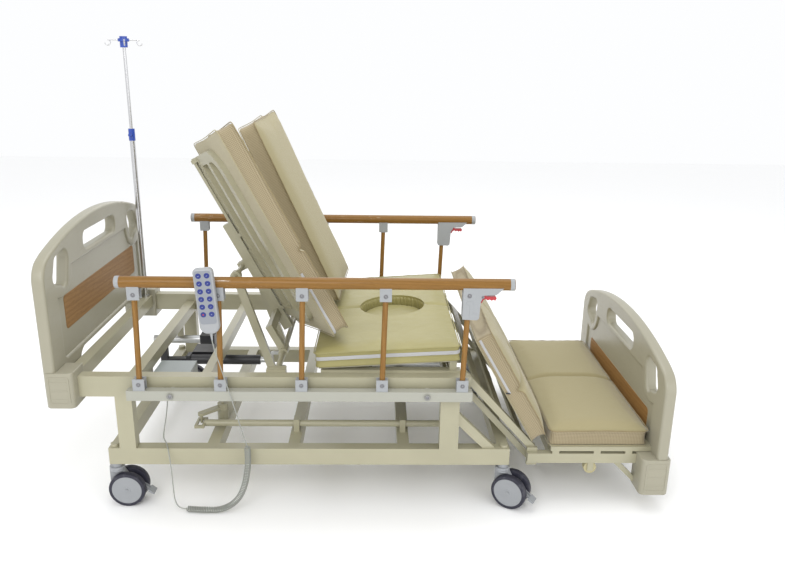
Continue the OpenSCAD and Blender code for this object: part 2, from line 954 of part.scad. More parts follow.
module handset_keys() {
    color(blue) at_handset()
        for (c = [0, 1], r = [0:5])
            translate([key_x(c), 0, key_z(r)])
                bar_y(0, 0, -1.6, 6.5, key_r);
}

// ---------------------------------------------------------- soft cushions

module seat_pad() {
    color(olive) translate([seat_x, 0, seat_z]) rotate([0, -seat_tilt, 0])
        difference() {
            translate([0, -440, board_5 + gap])
                linear_extrude(seat_pad_t)
                    round_rect(seat_l, 880, [24, 24, 24, 24]);
            translate([hole_x - seat_x, 0, 0])
                cylinder(h = 90, r = hole_d / 2);
        }
}

module seat_plug() {
    color(olive) translate([seat_x, 0, seat_z]) rotate([0, -seat_tilt, 0])
        translate([hole_x - seat_x, 0, -9])
            cylinder(h = 50, r = hole_d / 2 - 4);
}

module calf_pad() {
    color(knit) translate([calf_pad_x, 0, calf_pad_z])
        rotate([0, calf_pad_a, 0])
            translate([-calf_pad_l, -440, 0])
                cube([calf_pad_l, 880, calf_pad_t]);
}

module foot_pad() {
    color(knit) translate([631, -440, 211 + gap])
        linear_extrude(foot_pad_t)
            round_rect(353, 880, [20, 20, 20, 20]);
}

// ------------------------------------------------------ drives and linkage

module drive_units() {
    // control box between the first two cross members
    color(white_plastic) span([-760, -290, 357], [-630, -150, 402]);
    // cradle that hangs the box from the cross members
    color(cream) {
        span([-790, -262, 353], [-544, -178, 357]);
        for (x = [-790, -548])
            span([x, -262, 353], [x + 4, -178, side_z]);
    }
    // turning drive: black motor and its bright tube, beside the head end
    color(dark) span([-700, 190, 300], [-640, 300, 372]);
    color(steel) bar_x(-905, -700, 245, 336, 17);
    color(cream) span([-806, 238, 336], [-780, 252, side_z]);
    // leg drive under the seat
    color(dark) {
        span([-60, -60, 300], [20, 50, 372]);
        bar_x(20, 300, 0, 336, 18);
    }
    color(cream) {
        span([-86, -58, 340], [-60, -40, side_z]);
        span([280, -10, 340], [300, 10, side_z]);
    }
}

crank_x = -521;
crank_y = -255;
crank_arm = 90;
crank_a = 225;
rod_y = -331;
rod_z = 240;

// Crank of the turning drive; its pin works in the rod's cross slot
module turn_crank() {
    color(cream) translate([crank_x, crank_y, low_top + 40 + gap])
        difference() {
            union() {
                cylinder(h = 26, r = 19);
                rotate([0, 0, crank_a]) {
                    translate([0, -12, 8]) cube([crank_arm, 24, 10]);
                    translate([crank_arm, 0, 8]) cylinder(h = 10, r = 12);
                    translate([crank_arm, 0, -20]) cylinder(h = 30, r = 5);
                }
            }
            translate([0, 0, -1]) cylinder(h = 30, r = 6 + fit);
        }
}

module turn_rod() {
    slot_x = crank_x + crank_arm * cos(crank_a);
    color(steel) {
        bar_x(slot_x + 14, 262, rod_y, rod_z, 12);
        difference() {
            span([slot_x - 16, rod_y - 34, rod_z - 5],
                [slot_x + 18, rod_y + 34, rod_z + 5]);
            span([slot_x - 9, rod_y - 26, rod_z - 6],
                [slot_x + 9, rod_y + 26, rod_z + 6]);
        }
    }
}

// ---------------------------------------------------------- handset's lead

// Straight plain lead from the handset down to the curly stretch
lead_top_route = [
    [-481.2, -529, 628.5], [-474, -529, 590], [-462, -528, 545],
    [-448, -526, 490], [-434, -522, 430], [-420, -518, 370],
    [-408, -514, 315], [-398, -510, 270], [-392, -508, 246]];

// Curly stretch, drawn as one tube of its outer diameter
coil_route = [
    [-392, -508, 246], [-391, -508, 210], [-393, -509, 170],
    [-399, -511, 130], [-409, -514, 92], [-424, -518, 60],
    [-446, -521, 36], [-474, -523, 20], [-505, -524, 13],
    [-540, -523, 12.5], [-575, -521, 12.5], [-606, -518, 13]];

// Plain lead back up over the lower rail to the control box
lead_bottom_route = [
    [-606, -518, 13], [-620, -517, 14], [-634, -516, 24],
    [-642, -515, 46], [-645, -513, 76], [-647, -509, 110],
    [-650, -502, 145], [-655, -493, 182], [-662, -480, 211],
    [-672, -459, 225], [-684, -436, 226], [-694, -414, 224],
    [-700, -394, 224], [-702, -374, 240], [-700, -354, 268],
    [-698, -336, 304], [-697, -320, 340], [-696, -306, 368],
    [-696, -296, 386], [-696, -290, 393]];

function unit(v) = v / norm(v);
function tangent(p, i) =
    unit(p[min(i + 1, len(p) - 1)] - p[max(i - 1, 0)]);

// A tube swept along a route, with rings square to it and n sides
module tube_along(p, r, n) {
    m = len(p);
    rings = [for (i = [0:m - 1])
        let (t = tangent(p, i),
            u = unit(cross(t, [0, 1, 0.2])),
            v = cross(t, u))
        for (k = [0:n - 1])
            p[i] + r * cos(360 * k / n) * u + r * sin(360 * k / n) * v];
    sides = [for (i = [0:m - 2], k = [0:n - 1])
        [i * n + k, i * n + (k + 1) % n,
            (i + 1) * n + (k + 1) % n, (i + 1) * n + k]];
    polyhedron(points = rings, faces = concat(sides,
        [[for (k = [n - 1:-1:0]) k]],
        [[for (k = [0:n - 1]) (m - 1) * n + k]]), convexity = 10);
}

// Points of a smooth curve through a route, s of them for each stretch
function blend4(a, b, c, d, t) = 0.5 * (2 * b + (c - a) * t
    + (2 * a - 5 * b + 4 * c - d) * t * t
    + (3 * b - a - 3 * c + d) * t * t * t);
function smooth_route(p, s) = concat(
    [for (i = [0:len(p) - 2], k = [0:s - 1])
        blend4(p[max(i - 1, 0)], p[i], p[i + 1],
            p[min(i + 2, len(p) - 1)], k / s)],
    [p[len(p) - 1]]);

module lead_top() {
    color(white_plastic) tube_along(smooth_route(lead_top_route, 2), 1.9, 8);
}

module lead_coil() {
    color(white_plastic) tube_along(smooth_route(coil_route, 2), 11, 12);
}

module lead_bottom() {
    color(white_plastic)
        tube_along(smooth_route(lead_bottom_route, 2), 1.9, 8);
}

lower_frame();
upper_frame();
seat_deck();
back_carriage();
back_frame();
back_panel_right();
back_panel_left();
lift_struts();
calf_frame();
calf_links();
foot_frame();
foot_rollers();
headboard();
headboard_inlay();
footboard();
footboard_inlay();
guard_bases();
guard_rail_right();
guard_rail_left();
guard_trigger_right();
guard_trigger_left();
post_right_1();
post_right_2();
post_right_3();
post_right_4();
post_right_5();
post_left_1();
post_left_2();
post_left_3();
post_left_4();
post_left_5();
fork_head_right();
fork_head_left();
fork_foot_right();
fork_foot_left();
wheel_head_right();
wheel_head_left();
wheel_foot_right();
wheel_foot_left();
brake_head_right();
brake_foot_right();
iv_lower();
iv_upper();
iv_hook_head();
handset();
handset_keys();
back_pad_right();
back_pad_left();
seat_pad();
seat_plug();
calf_pad();
foot_pad();
back_actuator();
back_actuator_rod();
drive_units();
turn_crank();
turn_rod();
lead_top();
lead_coil();
lead_bottom();
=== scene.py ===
import bpy, bmesh, math, json
import numpy as np
from mathutils import Vector, Matrix, noise

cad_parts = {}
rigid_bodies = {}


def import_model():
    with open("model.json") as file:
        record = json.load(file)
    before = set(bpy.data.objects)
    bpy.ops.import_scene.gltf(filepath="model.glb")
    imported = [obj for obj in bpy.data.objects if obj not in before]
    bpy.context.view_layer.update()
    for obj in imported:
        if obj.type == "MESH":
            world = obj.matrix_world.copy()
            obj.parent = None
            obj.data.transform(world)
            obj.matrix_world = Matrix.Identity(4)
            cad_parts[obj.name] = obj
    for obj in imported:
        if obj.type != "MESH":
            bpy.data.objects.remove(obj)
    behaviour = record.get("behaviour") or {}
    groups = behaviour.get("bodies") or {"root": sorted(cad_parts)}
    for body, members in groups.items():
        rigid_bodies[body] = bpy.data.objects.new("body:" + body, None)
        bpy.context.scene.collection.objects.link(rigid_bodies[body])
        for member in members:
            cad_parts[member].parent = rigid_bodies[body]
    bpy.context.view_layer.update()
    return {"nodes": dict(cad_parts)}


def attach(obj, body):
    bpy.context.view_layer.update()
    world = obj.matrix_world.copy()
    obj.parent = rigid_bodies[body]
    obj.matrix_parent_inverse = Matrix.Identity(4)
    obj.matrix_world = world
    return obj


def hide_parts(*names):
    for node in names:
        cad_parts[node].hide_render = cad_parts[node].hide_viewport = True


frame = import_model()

NODES = frame["nodes"]
scene = bpy.context.scene
mm = 0.001


# ------------------------------------------------------------------ camera
def make_camera():
    """Stands off the near side, a little above the rails, and looks down."""
    yaw, pitch, roll = 0.0238, 0.2985, 0.0143
    fwd = Vector((math.sin(yaw) * math.cos(pitch), math.cos(yaw) * math.cos(pitch), -math.sin(pitch)))
    right = Vector((math.cos(yaw), -math.sin(yaw), 0))
    up = right.cross(fwd)
    r2 = math.cos(roll) * right + math.sin(roll) * up
    u2 = -math.sin(roll) * right + math.cos(roll) * up
    cam = bpy.data.objects.new("camera", bpy.data.cameras.new("camera"))
    scene.collection.objects.link(cam)
    cam.data.sensor_width = 36.0
    cam.data.lens = 33.86293
    cam.data.clip_end = 60
    m = Matrix((r2, u2, -fwd)).transposed().to_4x4()
    m.translation = Vector((0.0313, -2.7086, 1.4694))
    cam.matrix_world = m
    scene.camera = cam


make_camera()


# --------------------------------------------------------------- materials
class Graph:
    """A material being built: n adds a node, with inputs by name or index."""

    def __init__(self, name):
        self.m = bpy.data.materials.new(name)
        self.m.use_nodes = True
        self.t = self.m.node_tree
        self.b = self.t.nodes["Principled BSDF"]
        self.co = self.t.nodes.new("ShaderNodeTexCoord").outputs["Object"]

    def put(self, socket, value):
        if isinstance(value, bpy.types.NodeSocket):
            self.t.links.new(value, socket)
        else:
            socket.default_value = value

    def n(self, kind, out=0, _set=None, **ins):
        node = self.t.nodes.new("ShaderNode" + kind)
        for k, v in (_set or {}).items():
            setattr(node, k, v)
        for k, v in ins.items():
            key = int(k[1:]) if k[0] == "_" and k[1:].isdigit() else k.replace("__", " ")
            self.put(node.inputs[key], v)
        return node.outputs[out]

    def scaled(self, x, y, z, rot=(0, 0, 0)):
        return self.n("Mapping", Vector=self.co, Scale=(x, y, z), Rotation=rot)

    def math(self, op, a, b=0.0, c=0.0):
        return self.n("Math", _set={"operation": op}, _0=a, _1=b, _2=c)

    def noise(self, vec, scale, detail=4.0, rough=0.55, distortion=0.0):
        return self.n("TexNoise", Vector=vec, Scale=scale, Detail=detail, Roughness=rough,
                      Distortion=distortion)

    def ramp(self, fac, stops):
        node = self.t.nodes.new("ShaderNodeValToRGB")
        e = node.color_ramp.elements
        while len(e) < len(stops):
            e.new(0.5)
        for el, (pos, col) in zip(e, stops):
            el.position = pos
            el.color = (*col, 1) if len(col) == 3 else col
        self.put(node.inputs[0], fac)
        return node.outputs[0]

    def mix(self, fac, a, b, mode="MIX"):
        node = self.t.nodes.new("ShaderNodeMix")
        node.data_type = "RGBA"
        node.blend_type = mode
        self.put(node.inputs[0], fac)
        for s, v in ((node.inputs[6], a), (node.inputs[7], b)):
            self.put(s, (*v, 1) if isinstance(v, tuple) and len(v) == 3 else v)
        return node.outputs[2]

    def bump(self, height, dist, strength=1.0, normal=None):
        node = self.t.nodes.new("ShaderNodeBump")
        node.inputs["Strength"].default_value = strength
        node.inputs["Distance"].default_value = dist
        self.put(node.inputs["Height"], height)
        if normal:
            self.put(node.inputs["Normal"], normal)
        return node.outputs[0]

    def done(self, color=None, rough=None, normal=None, **const):
        if color is not None:
            if isinstance(color, tuple) and len(color) == 3:
                color = (*color, 1)
            self.put(self.b.inputs["Base Color"], color)
        if rough is not None:
            self.put(self.b.inputs["Roughness"], rough)
        if normal is not None:
            self.put(self.b.inputs["Normal"], normal)
        for k, v in const.items():
            self.b.inputs[k.replace("__", " ")].default_value = v
        return self.m


def shade(c, k):
    return tuple(min(1.0, max(0.0, x * k)) for x in c)


def coated_metal(name, c, rough=0.34):
    """Powder coat: faint orange peel, slow tone drift, scattered dust specks."""
    g = Graph(name)
    slow = g.noise(g.scaled(1, 1, 1), 5.5, 3)
    fine = g.noise(g.scaled(1, 1, 1), 900, 2)
    col = g.mix(g.ramp(slow, [(0.35, (0, 0, 0)), (0.7, (1, 1, 1))]), shade(c, 0.95), shade(c, 1.03))
    speck = g.ramp(g.noise(g.co, 260, 3, 0.7), [(0.70, (0, 0, 0)), (0.78, (1, 1, 1))])
    col = g.mix(g.math("MULTIPLY", speck, 0.14), col, shade(c, 0.72))
    ro = g.math("MULTIPLY_ADD", slow, 0.16, rough - 0.08)
    return g.done(col, ro, g.bump(fine, 0.00012, 0.5), Coat__Weight=0.12, Coat__Roughness=0.25)


def plastic(name, c, rough=0.42, grain=1400, depth=0.00012, coat=0.0):
    g = Graph(name)
    slow = g.noise(g.co, 9, 2)
    fine = g.noise(g.co, grain, 2, 0.6)
    col = g.mix(slow, shade(c, 0.965), shade(c, 1.025))
    smear = g.ramp(g.noise(g.scaled(1, 1, 4), 14, 5, 0.65), [(0.55, (0, 0, 0)), (0.75, (1, 1, 1))])
    ro = g.math("MULTIPLY_ADD", smear, 0.10, rough)
    return g.done(col, ro, g.bump(fine, depth, 0.6), Coat__Weight=coat, Coat__Roughness=0.15)


def wood(name, light, darkc, stretch, rough=0.36, coat=0.25, scuff=0.0, rot=(0, 0, 0)):
    """Printed wood grain drawn out along one axis, with pores and a clear film."""
    g = Graph(name)
    vec = g.scaled(*stretch, rot)
    big = g.noise(vec, 2.2, 6, 0.6, 0.6)
    ring = g.n("TexWave", Vector=vec, Scale=1.6, Distortion=5.0, Detail=4.0, Detail__Scale=1.6,
               _set={"bands_direction": "DIAGONAL"})
    pore = g.noise(g.scaled(*[s * 3.2 for s in stretch], rot), 9, 5, 0.7)
    f = g.math("ADD", g.math("MULTIPLY", big, 0.62), g.math("MULTIPLY", ring, 0.38))
    col = g.ramp(f, [(0.18, darkc), (0.48, shade(light, 0.9)), (0.78, light)])
    col = g.mix(g.ramp(pore, [(0.52, (0, 0, 0)), (0.62, (0.75, 0.75, 0.75))]), col, shade(darkc, 0.78))
    ro = g.math("MULTIPLY_ADD", pore, 0.15, rough - 0.07)
    if scuff:
        s1 = g.noise(g.scaled(9, 160, 160), 1.0, 6, 0.7, 1.5)
        s2 = g.noise(g.scaled(3, 3, 3), 1.2, 2)
        sc = g.math("MULTIPLY", g.ramp(s1, [(0.63, (0, 0, 0)), (0.66, (1, 1, 1))]),
                    g.ramp(s2, [(0.50, (0, 0, 0)), (0.62, (1, 1, 1))]))
        col = g.mix(g.math("MULTIPLY", sc, scuff), col, (0.80, 0.74, 0.66))
    return g.done(col, ro, g.bump(pore, 0.00008, 0.5), Coat__Weight=coat, Coat__Roughness=0.12,
                  Specular__IOR__Level=0.22)


def knit(name, c, darkc, pitch=0.0042, amount=0.35, diag=1.0, depth=0.0006, rough=0.9):
    """Knitted cover: two crossing sets of ribs; diag 1 gives the lozenge
    border, 0 the fine ladder of the plain faces."""
    g = Graph(name)
    g.n("SeparateXYZ", Vector=g.co)
    x, y, z = g.t.nodes[-1].outputs[:3]
    across = g.math("ADD", y, z)
    k = 2 * math.pi / pitch
    a = g.math("SINE", g.math("MULTIPLY", g.math("ADD", x, g.math("MULTIPLY", across, diag)), k))
    b = g.math("SINE", g.math("MULTIPLY", g.math("SUBTRACT", g.math("MULTIPLY", x, 0.35 + 0.65 * diag),
                                                 across), k))
    w = g.math("MULTIPLY", a, b)
    w01 = g.math("MULTIPLY_ADD", w, 0.5, 0.5)
    fuzz = g.noise(g.co, 1500, 3, 0.7)
    soft = g.noise(g.co, 7, 4, 0.6)
    h = g.math("ADD", g.math("MULTIPLY", w01, 0.8), g.math("MULTIPLY", fuzz, 0.35))
    col = g.mix(g.math("MULTIPLY", g.ramp(w01, [(0.30, (1, 1, 1)), (0.62, (0, 0, 0))]), amount), c, darkc)
    col = g.mix(g.math("MULTIPLY", soft, 0.28), col, shade(c, 0.88))
    return g.done(col, rough, g.bump(h, depth, 0.7), Sheen__Weight=0.25, Sheen__Roughness=0.5,
                  Specular__IOR__Level=0.2)


def vinyl(name, c):
    """Soft coated cloth: pebbled grain, broad soft creases, slight sheen."""
    g = Graph(name)
    cells = g.n("TexVoronoi", Vector=g.co, Scale=620.0, Randomness=1.0)
    crease = g.noise(g.scaled(1.0, 1.4, 1.0), 16, 5, 0.6, 0.8)
    soft = g.noise(g.co, 4.5, 3)
    n1 = g.bump(crease, 0.004, 0.28)
    n2 = g.bump(cells, 0.00025, 0.5, n1)
    col = g.mix(g.ramp(soft, [(0.35, (0, 0, 0)), (0.68, (1, 1, 1))]), shade(c, 0.93), shade(c, 1.05))
    ro = g.math("MULTIPLY_ADD", crease, 0.16, 0.36)
    return g.done(col, ro, n2, Sheen__Weight=0.12, Sheen__Roughness=0.4)


def metal(name, c, rough=0.28, axis=(1, 1, 1)):
    """Brushed or polished metal; a small scale on one axis draws the marks out."""
    g = Graph(name)
    br = g.noise(g.scaled(*axis), 220, 4, 0.7)
    col = g.mix(br, shade(c, 0.9), shade(c, 1.06))
    ro = g.math("MULTIPLY_ADD", br, 0.22, rough - 0.08)
    return g.done(col, ro, g.bump(br, 0.00005, 0.5), Metallic=1.0)


def rubber(name, c):
    """Matt rubber with a trace of dust."""
    g = Graph(name)
    f = g.noise(g.co, 700, 3, 0.7)
    dust = g.ramp(g.noise(g.co, 40, 5, 0.7), [(0.52, (0, 0, 0)), (0.8, (1, 1, 1))])
    col = g.mix(g.math("MULTIPLY", dust, 0.35), c, (0.25, 0.25, 0.27))
    return g.done(col, g.math("MULTIPLY_ADD", f, 0.2, 0.45), g.bump(f, 0.0002, 0.5))


CREAM = (0.375, 0.354, 0.245)
M = {
    "frame": coated_metal("frame_coat", CREAM),
    "board": plastic("board_abs", (0.318, 0.300, 0.225), 0.36, 1100, 0.00018, 0.15),
    "inlay": wood("inlay_wood", (0.31, 0.165, 0.052), (0.235, 0.115, 0.032), (14, 1.2, 22), 0.50, 0.0),
    "tube": wood("guard_wood_x", (0.245, 0.122, 0.026), (0.205, 0.098, 0.018), (1.2, 30, 30), 0.34, 0.1, 0.6),
    "post": wood("guard_wood_z", (0.27, 0.140, 0.034), (0.21, 0.100, 0.020), (30, 30, 1.2), 0.34, 0.12),
    "white": plastic("guard_plastic", (0.305, 0.318, 0.328), 0.36, 900, 0.0001, 0.2),
    "red": plastic("trigger_red", (0.42, 0.012, 0.02), 0.30, 900, 0.00006, 0.5),
    "hub": plastic("caster_grey", (0.285, 0.296, 0.31), 0.36, 900, 0.0001, 0.2),
    "tyre": rubber("caster_tyre", (0.018, 0.018, 0.032)),
    "steel": metal("stainless", (0.62, 0.62, 0.63), 0.24, (40, 40, 1)),
    "rod": metal("bright_rod", (0.52, 0.53, 0.53), 0.32, (1, 30, 30)),
    "bolt": metal("bolt_steel", (0.24, 0.24, 0.25), 0.35),
    "blue": plastic("blue_gloss", (0.010, 0.055, 0.36), 0.22, 500, 0.00003, 0.6),
    "handset": plastic("handset_shell", (0.32, 0.33, 0.34), 0.34, 1500, 0.00008, 0.2),
    "face": plastic("handset_face", (0.235, 0.25, 0.275), 0.42, 900, 0.00004, 0.1),
    "key": plastic("key_blue", (0.006, 0.018, 0.17), 0.34, 500, 0.00003, 0.2),
    "mark": plastic("key_mark", (0.30, 0.34, 0.45), 0.5),
    "top": knit("cover_top", (0.352, 0.308, 0.172), (0.275, 0.236, 0.126), 0.0048, 0.5, 0.0, 0.0005),
    "border": knit("cover_border", (0.375, 0.318, 0.205), (0.222, 0.175, 0.102), 0.0105, 0.95, 1.0, 0.0010),
    "under": knit("cover_under", (0.40, 0.355, 0.222), (0.31, 0.27, 0.155), 0.0062, 0.55, 1.0, 0.0005),
    "piping": knit("piping", (0.30, 0.24, 0.125), (0.22, 0.17, 0.085), 0.0016, 0.5, 0.6, 0.0003),
    "olive": vinyl("seat_vinyl", (0.312, 0.280, 0.108)),
    "base": plastic("guard_base_coat", (0.345, 0.345, 0.295), 0.36, 900, 0.0001, 0.2),
    "zip": plastic("zip_tape", (0.44, 0.44, 0.44), 0.7, 1600, 0.0003),
    "black": plastic("drive_black", (0.015, 0.015, 0.018), 0.42, 900, 0.0002, 0.1),
    "roller": plastic("roller_white", (0.40, 0.36, 0.20), 0.4, 600, 0.0001, 0.2),
    "cord": plastic("cord_grey", (0.30, 0.31, 0.28), 0.45, 1500, 0.00006, 0.1),
    "silver": plastic("box_silver", (0.27, 0.305, 0.305), 0.35, 1400, 0.0001, 0.3),
}


def smooth(ob, angle=35):
    me = ob.data
    me.polygons.foreach_set("use_smooth", [True] * len(me.polygons))
    me.set_sharp_from_angle(angle=math.radians(angle))


def dress(names, mat, bevel=0.0, seg=2):
    """A CAD node keeps its shape and gets its finish and eased edges."""
    for n in names.split():
        ob = NODES[n]
        ob.data.materials.clear()
        ob.data.materials.append(M[mat])
        smooth(ob)
        if bevel:
            b = ob.modifiers.new("eased", "BEVEL")
            b.width = bevel * mm
            b.segments = seg
            b.limit_method = "ANGLE"
            b.angle_limit = math.radians(48)
            b.harden_normals = True


def repaint(node, mat, test):
    """Faces of a CAD node whose centre passes the test get another finish."""
    me = NODES[node].data
    me.materials.append(M[mat])
    k = len(me.materials) - 1
    for p in me.polygons:
        if test(p.center / mm, p.normal):
            p.material_index = k


# ------------------------------------------------------------ mesh helpers
def link(name, me, mat=None):
    ob = bpy.data.objects.new(name, me)
    scene.collection.objects.link(ob)
    if mat:
        for m in mat.split():
            me.materials.append(M[m])
    return ob


def mesh_from(name, verts, faces, mat=None):
    me = bpy.data.meshes.new(name)
    me.from_pydata([tuple(v) for v in verts], [], [tuple(f) for f in faces])
    me.update()
    return link(name, me, mat)


def apply_all(ob):
    """Modifiers and curves become plain mesh data."""
    dg = bpy.context.evaluated_depsgraph_get()
    me = bpy.data.meshes.new_from_object(ob.evaluated_get(dg), depsgraph=dg)
    mw = ob.matrix_world.copy()
    name = ob.name
    mats = list(ob.data.materials)
    bpy.data.objects.remove(ob)
    new = link(name, me)
    if not me.materials:
        for m in mats:
            me.materials.append(m)
    new.matrix_world = mw
    return new


def join(name, parts):
    bpy.ops.object.select_all(action="DESELECT")
    for p in parts:
        p.select_set(True)
    bpy.context.view_layer.objects.active = parts[0]
    if len(parts) > 1:
        bpy.ops.object.join()
    ob = bpy.context.view_layer.objects.active
    ob.name = name
    return ob


def arc(c, r, a0, a1, n):
    return [(c[0] + r * math.cos(math.radians(a0 + (a1 - a0) * i / n)),
             c[1] + r * math.sin(math.radians(a0 + (a1 - a0) * i / n))) for i in range(n + 1)]


def round_rect(x0, z0, x1, z1, r, n=8):
    r = r if isinstance(r, (list, tuple)) else [r] * 4
    return (arc((x0 + r[0], z0 + r[0]), r[0], 180, 270, n) + arc((x1 - r[1], z0 + r[1]), r[1], 270, 360, n)
            + arc((x1 - r[2], z1 - r[2]), r[2], 0, 90, n) + arc((x0 + r[3], z1 - r[3]), r[3], 90, 180, n))


def slab(name, loops, thick, bevel, mat, seg=5, matrix=None):
    """A flat piece with rounded rims: closed outlines in mm (the first is
    outside, any others are openings), centred on its own plane."""
    cu = bpy.data.curves.new(name, "CURVE")
    cu.dimensions = "2D"
    cu.fill_mode = "BOTH"
    cu.extrude = (thick / 2 - bevel) * mm
    cu.bevel_depth = bevel * mm
    cu.bevel_resolution = seg
    cu.offset = -bevel * mm
    for lp in loops:
        sp = cu.splines.new("POLY")
        sp.points.add(len(lp) - 1)
        for p, (x, y) in zip(sp.points, lp):
            p.co = (x * mm, y * mm, 0, 1)
        sp.use_cyclic_u = True
    ob = bpy.data.objects.new(name, cu)
    scene.collection.objects.link(ob)
    cu.materials.append(M[mat])
    if matrix is not None:
        ob.matrix_world = matrix
    ob = apply_all(ob)
    ob.data.transform(ob.matrix_world)
    ob.matrix_world = Matrix.Identity(4)
    smooth(ob, 40)
    return ob


def lathe(name, profile, mat, n=64, matrix=None):
    """(radius, height) pairs in mm, turned about Z."""
    verts, faces = [], []
    m = len(profile)
    for i in range(n):
        a = 2 * math.pi * i / n
        verts += [(r * math.cos(a) * mm, r * math.sin(a) * mm, z * mm) for r, z in profile]
    for i in range(n):
        j = (i + 1) % n
        for k in range(m - 1):
            faces.append((i * m + k, j * m + k, j * m + k + 1, i * m + k + 1))
    ob = mesh_from(name, verts, faces, mat)
    bm = bmesh.new()
    bm.from_mesh(ob.data)
    bmesh.ops.remove_doubles(bm, verts=bm.verts, dist=1e-6)
    bmesh.ops.recalc_face_normals(bm, faces=bm.faces)
    bm.to_mesh(ob.data)
    bm.free()
    if matrix is not None:
        ob.data.transform(matrix)
    smooth(ob, 40)
    return ob


def tube(name, pts, r, mat, n=10, cyclic=False):
    """A round bar or piping through points in mm, as mesh."""
    cu = bpy.data.curves.new(name, "CURVE")
    cu.dimensions = "3D"
    cu.bevel_depth = r * mm
    cu.bevel_resolution = max(1, n // 4)
    cu.use_fill_caps = True
    sp = cu.splines.new("POLY")
    sp.points.add(len(pts) - 1)
    for p, q in zip(sp.points, pts):
        p.co = (*[c * mm for c in q], 1)
    sp.use_cyclic_u = cyclic
    ob = bpy.data.objects.new(name, cu)
    scene.collection.objects.link(ob)
    cu.materials.append(M[mat])
    ob = apply_all(ob)
    smooth(ob, 60)
    return ob


def T(x, y, z):
    return Matrix.Translation((x * mm, y * mm, z * mm))


def R(a, axis):
    return Matrix.Rotation(math.radians(a), 4, axis)


def catmull(pts, s):
    """A smooth curve through the points, with s steps between each two."""
    out = []
    last = len(pts) - 1
    for i in range(last):
        a, b, c, d = (Vector(pts[k]) for k in (max(i - 1, 0), i, i + 1, min(i + 2, last)))
        for k in range(s):
            t = k / s
            out.append(0.5 * (2 * b + (c - a) * t + (2 * a - 5 * b + 4 * c - d) * t * t
                              + (3 * b - a - 3 * c + d) * t ** 3))
    out.append(Vector(pts[-1]))
    return out


# ------------------------------------------------- the handset's long lead
LEAD_D = 3.8
TOP_ROUTE = [(-481.2, -529, 628.5), (-474, -529, 590), (-462, -528, 545), (-448, -526, 490),
             (-434, -522, 430), (-420, -518, 370), (-408, -514, 315), (-398, -510, 270), (-392, -508, 246)]
COIL_ROUTE = [(-392, -508, 246), (-391, -508, 210), (-393, -509, 170), (-399, -511, 130), (-409, -514, 92),
              (-424, -518, 60), (-446, -521, 36), (-474, -523, 20), (-505, -524, 13), (-540, -523, 12.5),
              (-575, -521, 12.5), (-606, -518, 13)]
BOTTOM_ROUTE = [(-606, -518, 13), (-620, -517, 14), (-634, -516, 24), (-642, -515, 46), (-645, -513, 76),
                (-647, -509, 110), (-650, -502, 145), (-655, -493, 182), (-662, -480, 211), (-672, -459, 225),
                (-684, -436, 226), (-694, -414, 224), (-700, -394, 224), (-702, -374, 240), (-700, -354, 268),
                (-698, -336, 304), (-697, -320, 340), (-696, -306, 368), (-696, -296, 386), (-696, -290, 393)]


def even(pts, step):
    """Points a fixed distance apart along a smooth route."""
    fine = catmull(pts, 12)
    out, left = [fine[0]], step
    for a, b in zip(fine, fine[1:]):
        d = (b - a).length
        while left <= d:
            out.append(a + (b - a) * (left / d))
            a = out[-1]
            d = (b - a).length
            left = step
        left -= d
    if (out[-1] - fine[-1]).length > step * 0.3:
        out.append(fine[-1])
    return out


def coil_points():
    """A helix of outer radius 11 round the coil's route, run in and out
    of the centre line over one turn at each end."""
    line = even(COIL_ROUTE, 1.0)
    s = [0.0]
    for a, b in zip(line, line[1:]):
        s.append(s[-1] + (b - a).length)
    total, pitch, per = s[-1], 5.9, 14
    turns = int(total / pitch)
    n, out = turns * per, []
    u = Vector((0, 1, 0))
    k = 0
    for i in range(n + 1):
        d = total * i / n
        while k < len(s) - 2 and s[k + 1] < d:
            k += 1
        f = (d - s[k]) / max(1e-9, s[k + 1] - s[k])
        p = line[k].lerp(line[k + 1], f)
        t = (line[min(k + 2, len(line) - 1)] - line[max(k - 1, 0)]).normalized()
        u = (u - t * u.dot(t)).normalized()
        v = t.cross(u)
        r = (11 - LEAD_D / 2 - 0.1) * min(1.0, i / per, (n - i) / per)
        a = 2 * math.pi * i / per
        out.append(p + (math.cos(a) * u + math.sin(a) * v) * r)
    return out


def make_lead():
    """One cord: plain from the handset, coiled in a bight, plain to the box."""
    path = even(TOP_ROUTE, 7.0)[:-1] + coil_points() + even(BOTTOM_ROUTE, 6.0)[1:]
    ob = tube("handset_lead", path, LEAD_D / 2, "cord", 8)
    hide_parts("lead_top", "lead_coil", "lead_bottom")
    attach(ob, "frame")


make_lead()


# ---------------------------------------------------------------- cushions
AT_BACK = T(-300, 0, 465) @ R(62, "Y")
AT_RIGHT = AT_BACK @ T(0, -14, 33) @ R(-26, "X")
AT_LEFT = AT_BACK @ T(0, 14, 33) @ R(20, "X")
LEFT_PAD = AT_LEFT @ T(-23, 437, 12.8) @ R(4.2, "Y") @ R(-16, "X") @ T(23, -437, -12.8)
BACK_Y = (437 + 6) / 2


